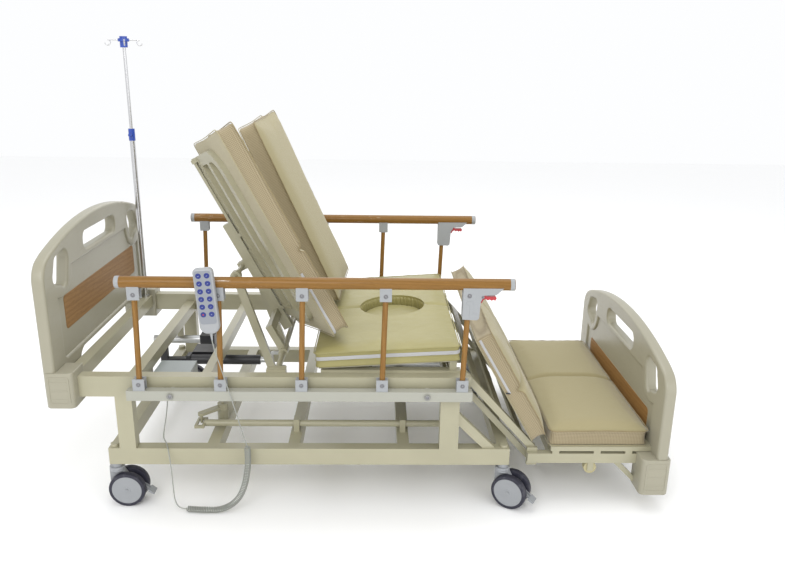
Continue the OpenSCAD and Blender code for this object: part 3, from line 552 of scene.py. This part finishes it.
class Cushion:
    """A padded block on a box grid: sewn edges, sides that pull in between
    the corners, a crowned top, filled by a short cloth simulation."""

    def __init__(self, name, size, nx, ny, nz, at, radius=22, crown=10, shape=None, cap=9, pressure=3.0,
                 crease=None, centre_seam=False, hole=None, inset=5.0, tuck=1.6):
        self.name, self.n, self.at, self.cap, self.pressure = name, (nx, ny, nz), at, cap, pressure
        L, W, _ = size
        co, faces, tags = self.box(size, radius)
        ijk = np.array(sorted(self.idx, key=self.idx.get), float)
        u, v, w = ijk[:, 0] / nx, ijk[:, 1] / ny, ijk[:, 2] / nz
        # distance in from the rim, and the crown that grows over it
        rim = np.minimum(np.minimum(u, 1 - u) * L, np.minimum(v, 1 - v) * W)
        dome = (1 - np.exp(-rim / 26.0)) * (1 - 0.35 * (2 * u - 1) ** 4) * (1 - 0.35 * (2 * v - 1) ** 4)
        top = ijk[:, 2] == nz
        co[top, 2] += crown * dome[top]
        self.rim, self.top, self.hold = rim, top, self.sewing(ijk, rim, L / nx)
        # sides pull in between the corners
        across = np.sign(v - 0.5) * ((ijk[:, 1] == 0) | (ijk[:, 1] == ny))
        along = np.sign(u - 0.5) * ((ijk[:, 0] == 0) | (ijk[:, 0] == nx))
        co[:, 1] -= across * 2 * tuck * np.sin(np.pi * u) ** 2
        co[:, 0] -= along * 2 * tuck * np.sin(np.pi * v) ** 2
        X, Y = co[:, 0].copy(), co[:, 1].copy()
        if crease is not None:
            self.groove(co, X - crease, 9.0, crown + 7.0, top)
        if centre_seam:
            clear = 1.0 if hole is None else (np.hypot(X - hole[0], Y) > hole[1])
            self.groove(co, Y, 7.0, crown * 0.75 + 3.0, top * clear)
        if shape:
            co = shape(co, u, v, w)
        co[:, 0] *= 1 - inset / (L / 2)
        co[:, 1] *= 1 - inset / (W / 2)
        self.ob = mesh_from(name, co * mm, faces)
        me = self.ob.data
        me.polygons.foreach_set("material_index", tags)
        me.polygons.foreach_set("use_smooth", [True] * len(faces))

    def box(self, size, radius):
        """Points and faces of the block, its upright corners rounded; the
        faces are tagged 0 on top, 1 round the border and 2 underneath."""
        (L, W, H), (nx, ny, nz) = size, self.n
        idx, verts, faces, tags = {}, [], [], []

        def vid(i, j, k):
            if (i, j, k) not in idx:
                idx[(i, j, k)] = len(verts)
                x, y = L * i / nx - L / 2, W * j / ny - W / 2
                cx, cy = L / 2 - radius, W / 2 - radius
                dx, dy = abs(x) - cx, abs(y) - cy
                if dx > 0 and dy > 0:
                    q = max(dx, dy) / math.hypot(dx, dy)
                    x = math.copysign(cx + dx * q, x)
                    y = math.copysign(cy + dy * q, y)
                verts.append([x, y, H * k / nz])
            return idx[(i, j, k)]

        for i in range(nx):
            for j in range(ny):
                faces.append((vid(i, j, nz), vid(i + 1, j, nz), vid(i + 1, j + 1, nz), vid(i, j + 1, nz)))
                faces.append((vid(i, j, 0), vid(i, j + 1, 0), vid(i + 1, j + 1, 0), vid(i + 1, j, 0)))
                tags += [0, 2]
        for k in range(nz):
            for i in range(nx):
                faces.append((vid(i, 0, k), vid(i + 1, 0, k), vid(i + 1, 0, k + 1), vid(i, 0, k + 1)))
                faces.append((vid(i, ny, k), vid(i, ny, k + 1), vid(i + 1, ny, k + 1), vid(i + 1, ny, k)))
                tags += [1, 1]
            for j in range(ny):
                faces.append((vid(0, j, k), vid(0, j, k + 1), vid(0, j + 1, k + 1), vid(0, j + 1, k)))
                faces.append((vid(nx, j, k), vid(nx, j + 1, k), vid(nx, j + 1, k + 1), vid(nx, j, k + 1)))
                tags += [1, 1]
        self.idx = idx
        self.ring = [(i, 0) for i in range(nx)] + [(nx, j) for j in range(ny)]
        self.ring += [(i, ny) for i in range(nx, 0, -1)] + [(0, j) for j in range(ny, 0, -1)]
        return np.array(verts), faces, tags

    def sewing(self, ijk, rim, cell):
        """How freely each point may swell: least at the seams, more in the
        row beside them, a quarter of that underneath."""
        nx, ny, nz = self.n
        under = ijk[:, 2] == 0
        flat = under | (ijk[:, 2] == nz)
        side = (ijk[:, 0] == 0) | (ijk[:, 0] == nx) | (ijk[:, 1] == 0) | (ijk[:, 1] == ny)
        hold = np.ones(len(ijk))
        hold[flat & side] = 0.12
        hold[flat & ~side & (rim < 1.6 * cell)] = 0.6
        hold[under] *= 0.25
        return hold

    def groove(self, co, dist, width, depth, mask):
        """A line sewn down across the top."""
        co[:, 2] -= depth * np.exp(-(dist / width) ** 2) * mask
        line = 1 - 0.85 * np.exp(-(dist / (width * 0.7)) ** 2) * mask
        np.minimum(self.hold, line, out=self.hold)

    def fill(self, frames=16):
        ob, me = self.ob, self.ob.data
        base = np.array([v.co for v in me.vertices])
        mod = ob.modifiers.new("cloth", "CLOTH")
        s = mod.settings
        s.quality = 5
        s.mass = 0.25
        s.tension_stiffness = s.compression_stiffness = 22
        s.shear_stiffness = 8
        s.bending_stiffness = 0.8
        s.use_pressure = True
        s.uniform_pressure_force = self.pressure
        s.effector_weights.gravity = 0.0
        mod.collision_settings.use_collision = False
        mod.point_cache.frame_start, mod.point_cache.frame_end = 1, frames
        for f in range(1, frames + 1):
            scene.frame_set(f)
        ev = ob.evaluated_get(bpy.context.evaluated_depsgraph_get())
        moved = np.array([v.co for v in ev.data.vertices])
        ob.modifiers.remove(mod)
        scene.frame_set(1)
        d = moved - base
        length = np.linalg.norm(d, axis=1)
        limit = self.hold * self.cap * mm
        k = np.where(length > 1e-9, np.minimum(1, limit / np.maximum(length, 1e-9)), 1)
        new = base + d * k[:, None]
        # small puckers where the cover is sewn
        for i, (p, r) in enumerate(zip(new, self.rim)):
            a = math.exp(-r / 16.0)
            w1 = noise.noise(Vector(p) * 38) * 0.9 + noise.noise(Vector(p) * 95 + Vector((3, 1, 7))) * 0.5
            new[i, 2] += 0.0010 * w1 * (0.45 + a) * (1 if self.top[i] else 0.2)
            if not self.top[i]:
                new[i, 0] += 0.0006 * w1
                new[i, 1] += 0.0006 * noise.noise(Vector(p) * 60 + Vector((9, 2, 4)))
        me.vertices.foreach_set("co", new.ravel())
        me.update()
        return self

    def ring_points(self, k, out=0.0):
        """Points round the border at row k (may lie between rows), pushed out."""
        me = self.ob.data
        k0 = int(math.floor(k))
        k1 = min(k0 + 1, self.n[2])
        f = k - k0
        pts = []
        for i, j in self.ring:
            a = me.vertices[self.idx[(i, j, k0)]].co
            b = me.vertices[self.idx[(i, j, k1)]].co
            pts.append(a.lerp(b, f))
        if out:
            m = len(pts)
            res = []
            for q in range(m):
                t = (pts[(q + 1) % m] - pts[q - 1]).normalized()
                nrm = Vector((t.y, -t.x, 0)).normalized()
                res.append(pts[q] + nrm * out * mm)
            pts = res
        return pts

    def piping(self, k, r=1.7, mat="piping"):
        pts = [p / mm for p in self.ring_points(k, 0.5)]
        ob = tube(self.name + "_piping_%d" % round(k * 10), pts, r, mat, 8, True)
        ob.parent = self.ob
        return ob

    def zipper(self, k, a, b, width=9.0, mat="zip"):
        """White zip on the border between shares a and b of its ring."""
        mid = self.ring_points(k, 1.3)
        m = len(mid)
        ids = [q % m for q in range(int(a * m), int(b * m) + 1)]
        verts, faces = [], []
        for q in ids:
            for dz, dn in ((-width / 2, 0.2), (-width / 2 + 1, 1.0), (-1.4, 1.1), (-1.0, 2.3),
                           (1.0, 2.3), (1.4, 1.1), (width / 2 - 1, 1.0), (width / 2, 0.2)):
                t = (mid[(q + 1) % m] - mid[q - 1]).normalized()
                nrm = Vector((t.y, -t.x, 0)).normalized()
                verts.append(mid[q] + Vector((0, 0, dz * mm)) + nrm * (dn - 0.4) * mm)
        for s in range(len(ids) - 1):
            for c in range(7):
                faces.append((s * 8 + c, (s + 1) * 8 + c, (s + 1) * 8 + c + 1, s * 8 + c + 1))
        ob = mesh_from(self.name + "_zip", verts, faces, mat)
        smooth(ob, 30)
        ob.parent = self.ob
        return ob

    def finish(self, mats, nodes, body, levels=2):
        for m in mats.split():
            self.ob.data.materials.append(M[m])
        sub = self.ob.modifiers.new("soft", "SUBSURF")
        sub.levels = sub.render_levels = levels
        kids = list(self.ob.children)
        for c in kids:
            c.parent = None
        new = apply_all(self.ob)
        self.ob = new
        for c in kids:
            c.parent = new
        new.matrix_world = self.at
        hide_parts(*nodes.split())
        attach(new, body)
        return new


def back_shape(side):
    """The inner side is slanted: wider below than on top."""
    def f(co, u, v, w):
        q = v if side < 0 else 1 - v          # 1 at the inner side
        q = np.clip((q - 0.55) / 0.45, 0, 1)
        co[:, 1] += side * 24 * w * q
        return co
    return f


def make_back_pads():
    """The two halves' cushions: side, body, place, length, middle, height, crease."""
    pads = (("right", -1, "turn_right", AT_RIGHT, 770, -402, 13.2, 70),
            ("left", 1, "cushion_left", LEFT_PAD, 746, -398, 16, None))
    for name, side, body, at, long, middle, low, crease in pads:
        node = "back_pad_" + name
        q = Cushion(node + "_cover", (long, 429, 55), 54, 32, 5, at @ T(middle, side * BACK_Y, low),
                    radius=20, crown=11, shape=back_shape(side), cap=8, crease=crease, pressure=3.2,
                    inset=2.5)
        q.fill()
        q.piping(5)
        q.piping(0, 1.4, "under")
        # the zip runs round the foot end and a little way up the outer side
        if side < 0:
            q.zipper(0.7, 0.22, 0.318)
        else:
            q.zipper(0.7, 0.33, 0.50)
        q.finish("top border under", node, body)


make_back_pads()


def calf_shape(co, u, v, w):
    """The end by the foot cushion is drawn in on top."""
    co[:, 2] -= 9 * w * (1 - np.clip((1 - u) * 6, 0, 1))
    return co


def make_leg_pads():
    """The calf cushion with its zip pull, and the foot cushion."""
    at = T(580, 0, 217) @ R(60, "Y") @ T(-218.5, 0, 0.4)
    c = Cushion("calf_cover", (435, 878, 58), 36, 70, 4, at, radius=18, crown=13, shape=calf_shape, cap=8,
                crease=14, centre_seam=True, pressure=3.0, inset=2.5)
    c.fill()
    c.piping(4)
    c.piping(0, 1.4, "under")
    c.zipper(0.8, 0.0, 0.09)
    end = c.ring_points(0.8, 1.5)[int(0.09 * len(c.ring))] / mm
    tab = [end, end + Vector((-4, -3, -3)), end + Vector((-10, -4, -11))]
    pull = tube("calf_zip_pull", tab, 2.4, "black", 8)
    pull.parent = c.ob
    c.finish("top border under", "calf_pad", "calf_cushion")
    f = Cushion("foot_cover", (351, 878, 54), 30, 70, 4, T(631 + 176.5, 0, 211.5), radius=22, crown=15, cap=8,
                centre_seam=True, pressure=3.6, inset=2.5)
    f.fill()
    f.piping(4)
    f.piping(0, 1.4, "under")
    f.finish("top border under", "foot_pad", "foot")


make_leg_pads()

SEAT = T(-165, 0, 490) @ R(-3.5, "Y")
HOLE_X, HOLE_R, SEAT_MID = 265.0, 123.0, 240.0


def ruffle(name, at):
    """Gathered lining of the round opening, with a rolled lip."""
    prof = [(136, 53.5), (131, 56.5), (127, 57.6), (124, 56.0), (121.5, 52), (120.5, 44), (120.8, 30),
            (121.5, 12), (122.2, 3)]
    n, verts, faces = 300, [], []
    for a in range(n):
        th = 2 * math.pi * a / n
        for k, (r, z) in enumerate(prof):
            g = math.sin(44 * th + 1.4 * math.sin(5 * th)) + 0.5 * math.sin(71 * th + 2 * math.sin(3 * th))
            amp = (0.15, 0.5, 0.9, 1.3, 1.6, 1.7, 1.5, 1.1, 0.5)[k]
            rr = r + amp * g
            z_gather = z + 0.5 * amp * math.cos(44 * th)
            verts.append((rr * math.cos(th) * mm, rr * math.sin(th) * mm, z_gather * mm))
    m = len(prof)
    for a in range(n):
        b = (a + 1) % n
        for k in range(m - 1):
            faces.append((a * m + k, a * m + k + 1, b * m + k + 1, b * m + k))
    ob = mesh_from(name, verts, faces, "olive")
    sub = ob.modifiers.new("s", "SUBSURF")
    sub.levels = 1
    ob = apply_all(ob)
    smooth(ob, 70)
    ob.matrix_world = at
    return ob


def cut_opening(ob, at):
    """Cuts the round opening through the seat's cover."""
    cut = lathe("cut", [(0, -40), (HOLE_R + 1, -40), (HOLE_R + 1, 140), (0, 140)], "olive", 96, at)
    b = ob.modifiers.new("hole", "BOOLEAN")
    b.operation, b.object, b.solver = "DIFFERENCE", cut, "EXACT"
    me = bpy.data.meshes.new_from_object(ob.evaluated_get(bpy.context.evaluated_depsgraph_get()))
    ob.modifiers.clear()
    ob.data = me
    smooth(ob, 50)
    bpy.data.objects.remove(cut)


def make_seat():
    """The seat's cover with its round opening and gathered lining."""
    s = Cushion("seat_cover", (492, 880, 52), 42, 74, 5, SEAT @ T(SEAT_MID, 0, 5.6), radius=16, crown=6,
                cap=6, pressure=2.6, centre_seam=True, hole=(HOLE_X - SEAT_MID, 128), inset=2.0, tuck=1.0)
    s.fill()
    s.piping(5, 1.9, "olive")
    s.piping(2.1, 1.5, "olive")
    s.zipper(2.9, 0.0, 0.55, 13)
    ob = s.finish("olive olive olive", "seat_pad", "frame")
    at_hole = ob.matrix_world @ T(HOLE_X - SEAT_MID, 0, 0)
    cut_opening(ob, at_hole)
    r = ruffle("seat_opening_ruffle", at_hole)
    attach(r, "frame")


def make_plug():
    """A round cushion with a rolled edge and soft gathers."""
    prof = [(0, 1), (40, 1), (80, 1), (112, 1), (116.5, 4), (118, 12), (118, 30), (116, 38), (112, 42.2)]
    prof += [(104, 44.5), (92, 46.2), (70, 47.4), (40, 48.0), (15, 48.2), (0, 48.2)]
    p = lathe("seat_plug_cover", prof, "olive", 120)
    for v in p.data.vertices:
        rr = math.hypot(v.co.x, v.co.y) / mm
        if v.co.z > 0.03:
            th = math.atan2(v.co.y, v.co.x)
            gathers = math.sin(36 * th + 2 * math.sin(3 * th)) * 0.9 * math.exp(-((rr - 108) / 12) ** 2)
            v.co.z += (noise.noise(v.co * 26) * 1.6 + gathers) * mm
    p.data.update()
    sub = p.modifiers.new("s", "SUBSURF")
    sub.levels = 1
    p = apply_all(p)
    smooth(p, 70)
    p.matrix_world = SEAT @ T(HOLE_X, 0, -9)
    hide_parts("seat_plug")
    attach(p, "plug")


make_seat()
make_plug()


# ------------------------------------------------------------- end boards
BOARD_T = 40
SHOE_IN, SHOE_OUT = 412, 510


def board_outline(h, leg_in, leg_low, half=505.0):
    """Arched top, rounded shoulders and a leg at each lower corner."""
    sag, shoulder = 65.0, 430.0
    r = (shoulder ** 2 + sag ** 2) / (2 * sag)
    a = math.degrees(math.asin(shoulder / r))
    side = arc((0, -r), r, 90, 90 - a, 14) + arc((half - 80, -sag - 84), 80, 62, 0, 10)
    side += [(half, -leg_low + 14), (half - 14, -leg_low), (leg_in + 12, -leg_low), (leg_in, -leg_low + 12)]
    side += arc((leg_in - 50, -h - 50), 50, 0, 90, 8)
    return side + [(-x, z) for x, z in reversed(side[1:])]


def side_slot(s):
    """Outline of the bean-shaped opening on side s."""
    p = arc((338, -106), 30, 110, 200, 8) + arc((350, -172), 22, 200, 330, 10)
    p += arc((404, -150), 24, -60, 20, 8) + arc((384, -112), 26, 10, 80, 8)
    return [(x, z) for x, z in reversed(p)] if s > 0 else [(-x, z) for x, z in p]


def field(h, grow=0):
    """Outline of the sunk plate, running round the hollows of the side slots."""
    low, x1, r = -h + 22 - grow, 408 + grow, 95 - grow
    first = 360 - math.degrees(math.acos((x1 - 372) / r))
    last = 180 + math.degrees(math.asin((7 - grow) / r))
    right = arc((372, -135), r, first, last, 12)
    left = [(-x, z) for x, z in reversed(right)]
    return (arc((x1 - 20, low + 20), 20, 270, 360, 6) + right + left
            + arc((20 - x1, low + 20), 20, 180, 270, 6))


def to_board(x, z):
    """Places an outline (width, height) on a board's middle plane."""
    return Matrix(((0, 0, 1, x * mm), (1, 0, 0, 0), (0, 1, 0, z * mm), (0, 0, 0, 1)))


def make_board(name, x0, top, h, leg_in, leg_low, inlay_top, inlay_h, inner, shoe, body):
    """Rim, sunk plate, corner shoes with raised bands, and the wood panel."""
    outline = board_outline(h, leg_in, leg_low)
    handle = round_rect(-158, -119, 158, -57, 28)
    loops = [outline, field(h), handle, side_slot(1), side_slot(-1)]
    middle = to_board(x0 + BOARD_T / 2, top)
    parts = [slab(name + "_core", [field(h, 9)], 26, 1, "board", 2, middle),
             slab(name + "_rim", loops, BOARD_T, 10, "board", 6, middle)]
    sx0, sx1, sz0, sz1 = shoe
    for s in (-1, 1):
        if s > 0:
            plan = round_rect(sx0, SHOE_IN, sx1, SHOE_OUT, [6, 6, 18, 18])
        else:
            plan = round_rect(sx0, -SHOE_OUT, sx1, -SHOE_IN, [18, 18, 6, 6])
        parts.append(slab(name + "_shoe", [plan], sz1 - sz0, 4, "board", 4, T(0, 0, (sz0 + sz1) / 2)))
        m = Matrix(((1, 0, 0, 0), (0, 0, -s, s * (SHOE_OUT - 0.8) * mm), (0, 1, 0, 0), (0, 0, 0, 1)))
        rr = [round_rect(sx0 + 14, sz0 + 14, sx1 - 12, sz1 - 12, 10),
              round_rect(sx0 + 19, sz0 + 19, sx1 - 17, sz1 - 17, 7)]
        parts.append(slab(name + "_emboss", rr, 4.4, 1.2, "board", 3, m))
        for k in (1, 2, 3):
            zb = sz0 + (sz1 - sz0) * k / 4
            bar = round_rect(sx0 + 22, zb - 3, sx1 - 20, zb + 3, 2.8)
            parts.append(slab(name + "_band", [bar], 3.8, 1.2, "board", 3, m))
    ob = join(name + "_moulding", parts)
    smooth(ob, 40)
    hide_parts(name)
    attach(ob, body)
    panel = round_rect(-361, inlay_top - inlay_h, 361, inlay_top, 14)
    xi = x0 + (31.6 if inner > 0 else 8.4)
    w = slab(name + "_panel", [panel], 5, 1.2, "inlay", 3, to_board(xi, top))
    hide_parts(name + "_inlay")
    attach(w, body)


make_board("headboard", -1035, 945, 449, 289, 545, -228, 117, 1, (-1035, -940, 380, 503), "frame")
make_board("footboard", 988, 577, 355, 289, 500, -262, 80, -1, (940, 1040, 61, 194), "foot")


# ------------------------------------------------------------ hard details
HEAD_CASTER_X, FOOT_CASTER_X, CASTER_Y = -849, 475, 450
TRAIL, WHEEL_R = 36, 62


def make_wheels():
    """Twin tyres and hubs, and the collar of each swivel head."""
    tyre = [(40, 11.4), (57, 11.2), (60.4, 12.4), (61.8, 15.5), (62, 20), (62, 26), (61.6, 31), (60, 34.2),
            (56, 35), (50.5, 34.6), (49.5, 33.2), (40, 33.2)]
    disc = [(5.1, 34.4), (12, 34.6), (13, 33.6), (30, 33.0), (45, 33.8), (48.6, 35.0), (50.2, 34.4),
            (50.6, 32.5)]
    back = [(50, 11.6), (30, 12.2), (8, 11.6), (5.1, 11.3)]
    collar = [(18.2, 141), (24.4, 140.5), (25.2, 138), (25.2, 131), (24.2, 129), (25.2, 127), (24.4, 125.6)]
    corners = (("head_right", HEAD_CASTER_X, -1, 0), ("head_left", HEAD_CASTER_X, 1, 0),
               ("foot_right", FOOT_CASTER_X, -1, -30), ("foot_left", FOOT_CASTER_X, 1, 0))
    for node, x, s, a in corners:
        at = T(x, s * CASTER_Y, 0) @ R(a, "Z") @ T(TRAIL, 0, WHEEL_R)
        tyres, discs = [], []
        for q in (90, -90):
            m = at @ R(q, "X")
            tyres.append(lathe("t", tyre, "tyre", 72, m))
            discs.append(lathe("d", disc, "hub", 72, m))
            discs.append(lathe("b", back, "tyre", 48, m))
        t = join("tyres_" + node, tyres)
        d = join("hubs_" + node, discs)
        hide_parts("wheel_" + node)
        for ob, sl in ((t, "caster_tyre"), (d, "caster_plastic")):
            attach(ob, "wheel_" + node)
        # collar and cap on the swivel head
        c = lathe("swivel_" + node, collar, "hub", 56, T(x, s * CASTER_Y, 0))
        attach(c, "fork_" + node)


make_wheels()

# guards: five posts between lower and upper pivots, leaning a little to the foot
POST_X = [-731 + 261.75 * i for i in range(5)]
FOOT_Z, POST_LONG, LEAN = 466, 304, math.radians(1.7)
TOP_Z, TOP_DX = FOOT_Z + POST_LONG * math.cos(LEAN), POST_LONG * math.sin(LEAN)
RAIL_Z = TOP_Z + 39
RAIL_R, RAIL_ENDS = 18.5, (-778, 468)
# distances out from the middle of the bed to the guard and the faces with screws
GUARD_Y = 497
BLOCK_Y, LATCH_Y, STRIP_Y = GUARD_Y + 13.4, GUARD_Y + 17.6, 517.4


def screw(x, y, z, s, r=5.0, mat="bolt"):
    """A domed screw head with a washer, facing out to side s."""
    prof = [(0, 3.1), (r * 0.45, 2.9), (r * 0.85, 2.0), (r, 0.9), (r * 1.02, 0.5), (r * 1.5, 0.5),
            (r * 1.5, -0.6)]
    return lathe("screw", prof, mat, 20, T(x, y, z) @ R(-90 * s, "X"))


def make_guard_details():
    """Screws of the posts, end caps of the rails and the latch cover's step."""
    for s, side in ((-1, "right"), (1, "left")):
        low = [screw(x, s * BLOCK_Y, FOOT_Z, s) for x in POST_X]
        low += [screw(x, s * STRIP_Y, 428, s, 6.5) for x in (-632, 202)]
        ob = join("guard_base_screws_" + side, low)
        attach(ob, "frame")
        latch_x = POST_X[4] + TOP_DX
        up = [screw(x + TOP_DX, s * BLOCK_Y, TOP_Z, s) for x in POST_X[:4]]
        up.append(screw(latch_x, s * LATCH_Y, TOP_Z + 6, s))
        up.append(screw(latch_x + 42, s * LATCH_Y, TOP_Z + 2, s, 3.2))
        ob = join("guard_rail_screws_" + side, up)
        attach(ob, "rail_" + side)
        prof = [(0, 2.6), (12, 2.5), (16.5, 1.6), (18.6, -0.6), (19.0, -3), (19.0, -14), (18.4, -14.6)]
        caps = []
        for x, d in zip(RAIL_ENDS, (-1, 1)):
            end = T(x - d * 0.6, s * GUARD_Y, RAIL_Z) @ R(90 * d, "Y")
            caps.append(lathe("cap", prof, "white", 48, end))
        # raised step on the latch cover
        m = Matrix(((1, 0, 0, 0), (0, 0, -s, s * (GUARD_Y + 17.7) * mm), (0, 1, 0, 0), (0, 0, 0, 1)))
        corners = ((-8, -12), (12, -12), (12, -52), (26, -52), (26, -62), (2, -62), (2, -22), (-8, -22))
        step = [(latch_x + x, TOP_Z + z) for x, z in corners]
        caps.append(slab("step", [step], 1.6, 0.6, "white", 2, m))
        ob = join("guard_rail_caps_" + side, caps)
        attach(ob, "rail_" + side)


make_guard_details()

AT_HANDSET = T(-497, -GUARD_Y - RAIL_R - 27, RAIL_Z + 56) @ R(-4, "Y")
KEY_ROWS, KEY_STEP, KEY_COLUMNS = 6, 24.8, (-13, 13)


def make_handset():
    """Shell with its hanging hook, two rows of six keys, and the lead's boot."""
    front = AT_HANDSET @ T(0, 13, 0) @ R(90, "X")
    shell = slab("shell", [round_rect(-31, -212, 31, 0, [26, 26, 14, 14])], 26, 7.5, "handset", 6, front)
    face = slab("face", [round_rect(-25.5, -178, 25.5, -6, 9)], 2.0, 0.8, "face", 3,
                AT_HANDSET @ T(0, 0.5, 0) @ R(90, "X"))
    hookm = AT_HANDSET @ T(0, 45.5, -56) @ Matrix(((0, 0, 1, 0), (1, 0, 0, 0), (0, 1, 0, 0), (0, 0, 0, 1)))
    ring = arc((0, 0), 23.4, 0, 180, 24) + arc((0, 0), 18.8, 180, 0, 24)
    hook = slab("hook", [ring], 26, 1.6, "handset", 3, hookm)
    web = slab("web", [round_rect(-28, 0, -17, 20, 2)], 24, 1.2, "handset", 3, hookm)
    sleeve = [(0, -236), (2.3, -236), (2.6, -233), (3.4, -230), (2.9, -228.5), (3.8, -226), (3.2, -224.5),
              (4.4, -222), (3.8, -220), (5.0, -217), (5.4, -208)]
    boot = lathe("boot", sleeve, "handset", 32, AT_HANDSET @ T(0, 13, 0))
    ob = join("handset_shell", [shell, face, hook, web, boot])
    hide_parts("handset")
    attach(ob, "handset")
    dome = [(0, 1.9), (5.6, 1.8), (7.4, 1.5), (8.5, 1.0), (8.7, 0.5), (7.0, 0.4), (7.0, -5)]
    dot = [(0, 1.95), (2.6, 1.85), (3.3, 1.8), (3.4, 1.5)]
    keys, marks = [], []
    for c, x in enumerate(KEY_COLUMNS):
        for r in range(KEY_ROWS):
            at = AT_HANDSET @ T(x, 0, -22 - KEY_STEP * r) @ R(90, "X")
            red = c == 0 and r == KEY_ROWS - 1
            keys.append(lathe("key", dome, "key", 32, at))
            if red:
                keys.append(lathe("dot", dot, "red", 24, at))
            else:
                # a plain little lying-figure mark: a bar and its raised end
                bar = [(-3, -1.3), (0.4, -1.3), (2.6 - c * 0.6, 0.9 + 0.25 * (r % 3)),
                       (1.8 - c * 0.6, 1.5 + 0.2 * (r % 3)), (0, -0.4), (-3, -0.4)]
                marks.append(slab("mark", [bar], 0.5, 0.1, "mark", 1, at @ T(0, 0, 2.0)))
    ob = join("handset_key_tops", keys + marks)
    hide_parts("handset_keys")
    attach(ob, "keys")


make_handset()

# ------------------------------------------------- finishes of CAD pieces
BASE_TOP_Z = 445.1
IV_X, IV_Y, IV_CLAMP_Z = -972, 390, 1149

dress("lower_frame upper_frame seat_deck back_frame back_carriage lift_struts calf_frame calf_links"
      " foot_frame turn_crank turn_rod", "frame", 2.2, 3)
dress("back_panel_right back_panel_left", "frame", 2.6, 3)
dress("foot_rollers", "roller", 1.2, 2)
dress("guard_bases", "base", 1.2, 2)
repaint("guard_bases", "white", lambda p, n: p.z > BASE_TOP_Z)
dress("guard_rail_right guard_rail_left", "tube", 1.0, 2)
dress("guard_trigger_right guard_trigger_left", "red", 1.5, 3)
dress(" ".join("post_%s_%d" % (s, i) for s in ("right", "left") for i in range(1, 6)), "post", 0.6, 2)
dress("fork_head_right fork_head_left fork_foot_right fork_foot_left brake_head_right brake_foot_right",
      "hub", 1.8, 3)
dress("iv_lower iv_upper", "steel", 0.4, 2)
dress("iv_hook_head", "blue", 0.8, 2)
dress("back_actuator drive_units", "black", 2.0, 2)
dress("back_actuator_rod", "rod", 0.8, 2)


def rail_plastic(s):
    """The moulded faces of side s's rail: below the bar, round it, and the latch."""
    def test(p, n):
        below = p.z < RAIL_Z - 18.7
        sleeve = math.hypot(p.y - s * GUARD_Y, p.z - RAIL_Z) > 19.2
        latch = p.z < RAIL_Z - 8 and abs(n.y) > 0.98 and p.x > POST_X[4] - 30
        return below or sleeve or latch
    return test


for s, side in ((-1, "right"), (1, "left")):
    repaint("guard_rail_" + side, "white", rail_plastic(s))
repaint("iv_lower", "blue", lambda p, n: p.z > IV_CLAMP_Z)
repaint("iv_hook_head", "steel", lambda p, n: math.hypot(p.x - IV_X, p.y - IV_Y) > 23)


def is_control_box(p, n):
    """Faces of the silver box that the handset's lead runs to."""
    return -760.2 < p.x < -629.8 and -290.2 < p.y < -149.8 and p.z > 356.9


def is_drive_hanger(p, n):
    """Faces of the cradle and the brackets that carry the drives."""
    cradle = p.y < -140 and (p.z < 357.1 or p.x < -785.9 or p.x > -548.1)
    turning = p.x < -779.9 and p.y > 200 and p.z > 353.5
    leg = 279.9 < p.x < 300.1 and p.z > 354.5
    return cradle or turning or leg or (p.z > 372.5 and p.y > -140)


def is_drive_rod(p, n):
    """Faces of the bright rods of the turning drive and the leg drive."""
    turning = p.x < -701 and p.y > 200 and p.z < 353.5
    leg = p.x > 21 and math.hypot(p.y, p.z - 336) < 18.5
    return turning or leg


repaint("drive_units", "silver", is_control_box)
repaint("drive_units", "frame", is_drive_hanger)
repaint("drive_units", "rod", is_drive_rod)


# --------------------------------------------------------- floor and light
def make_stage():
    fl = mesh_from("floor", [(-9, -9, 0), (9, -9, 0), (9, 9, 0), (-9, 9, 0)], [(0, 1, 2, 3)])
    g = Graph("floor_pale")
    pale = g.mix(g.noise(g.co, 3, 3), (0.955, 0.955, 0.955), (0.965, 0.965, 0.965))
    fl.data.materials.append(g.done(pale, 0.85))
    fl.location.z = -0.0006
    w = bpy.data.worlds.new("studio")
    scene.world = w
    w.use_nodes = True
    bg = w.node_tree.nodes["Background"]
    bg.inputs[0].default_value = (0.985, 0.992, 1.0, 1)
    bg.inputs[1].default_value = 1.0
    for name, loc, size, power, aim in (
            ("key", (-1.2, -4.0, 2.9), 2.2, 66, (0, 0, 0.5)),
            ("fill", (3.0, -3.4, 1.7), 2.6, 26, (0, 0, 0.5)),
            ("over", (0.2, 0.6, 4.2), 3.0, 52, (0, 0, 0.4)),
            ("back", (-0.5, 4.0, 2.6), 2.6, 20, (0, 0, 0.6))):
        li = bpy.data.lights.new(name, "AREA")
        li.energy, li.size = power, size
        ob = bpy.data.objects.new(name, li)
        scene.collection.objects.link(ob)
        ob.location = loc
        ob.rotation_euler = (Vector(aim) - Vector(loc)).to_track_quat("-Z", "Y").to_euler()


make_stage()
scene.view_settings.view_transform = "Standard"
scene.view_settings.look = "None"
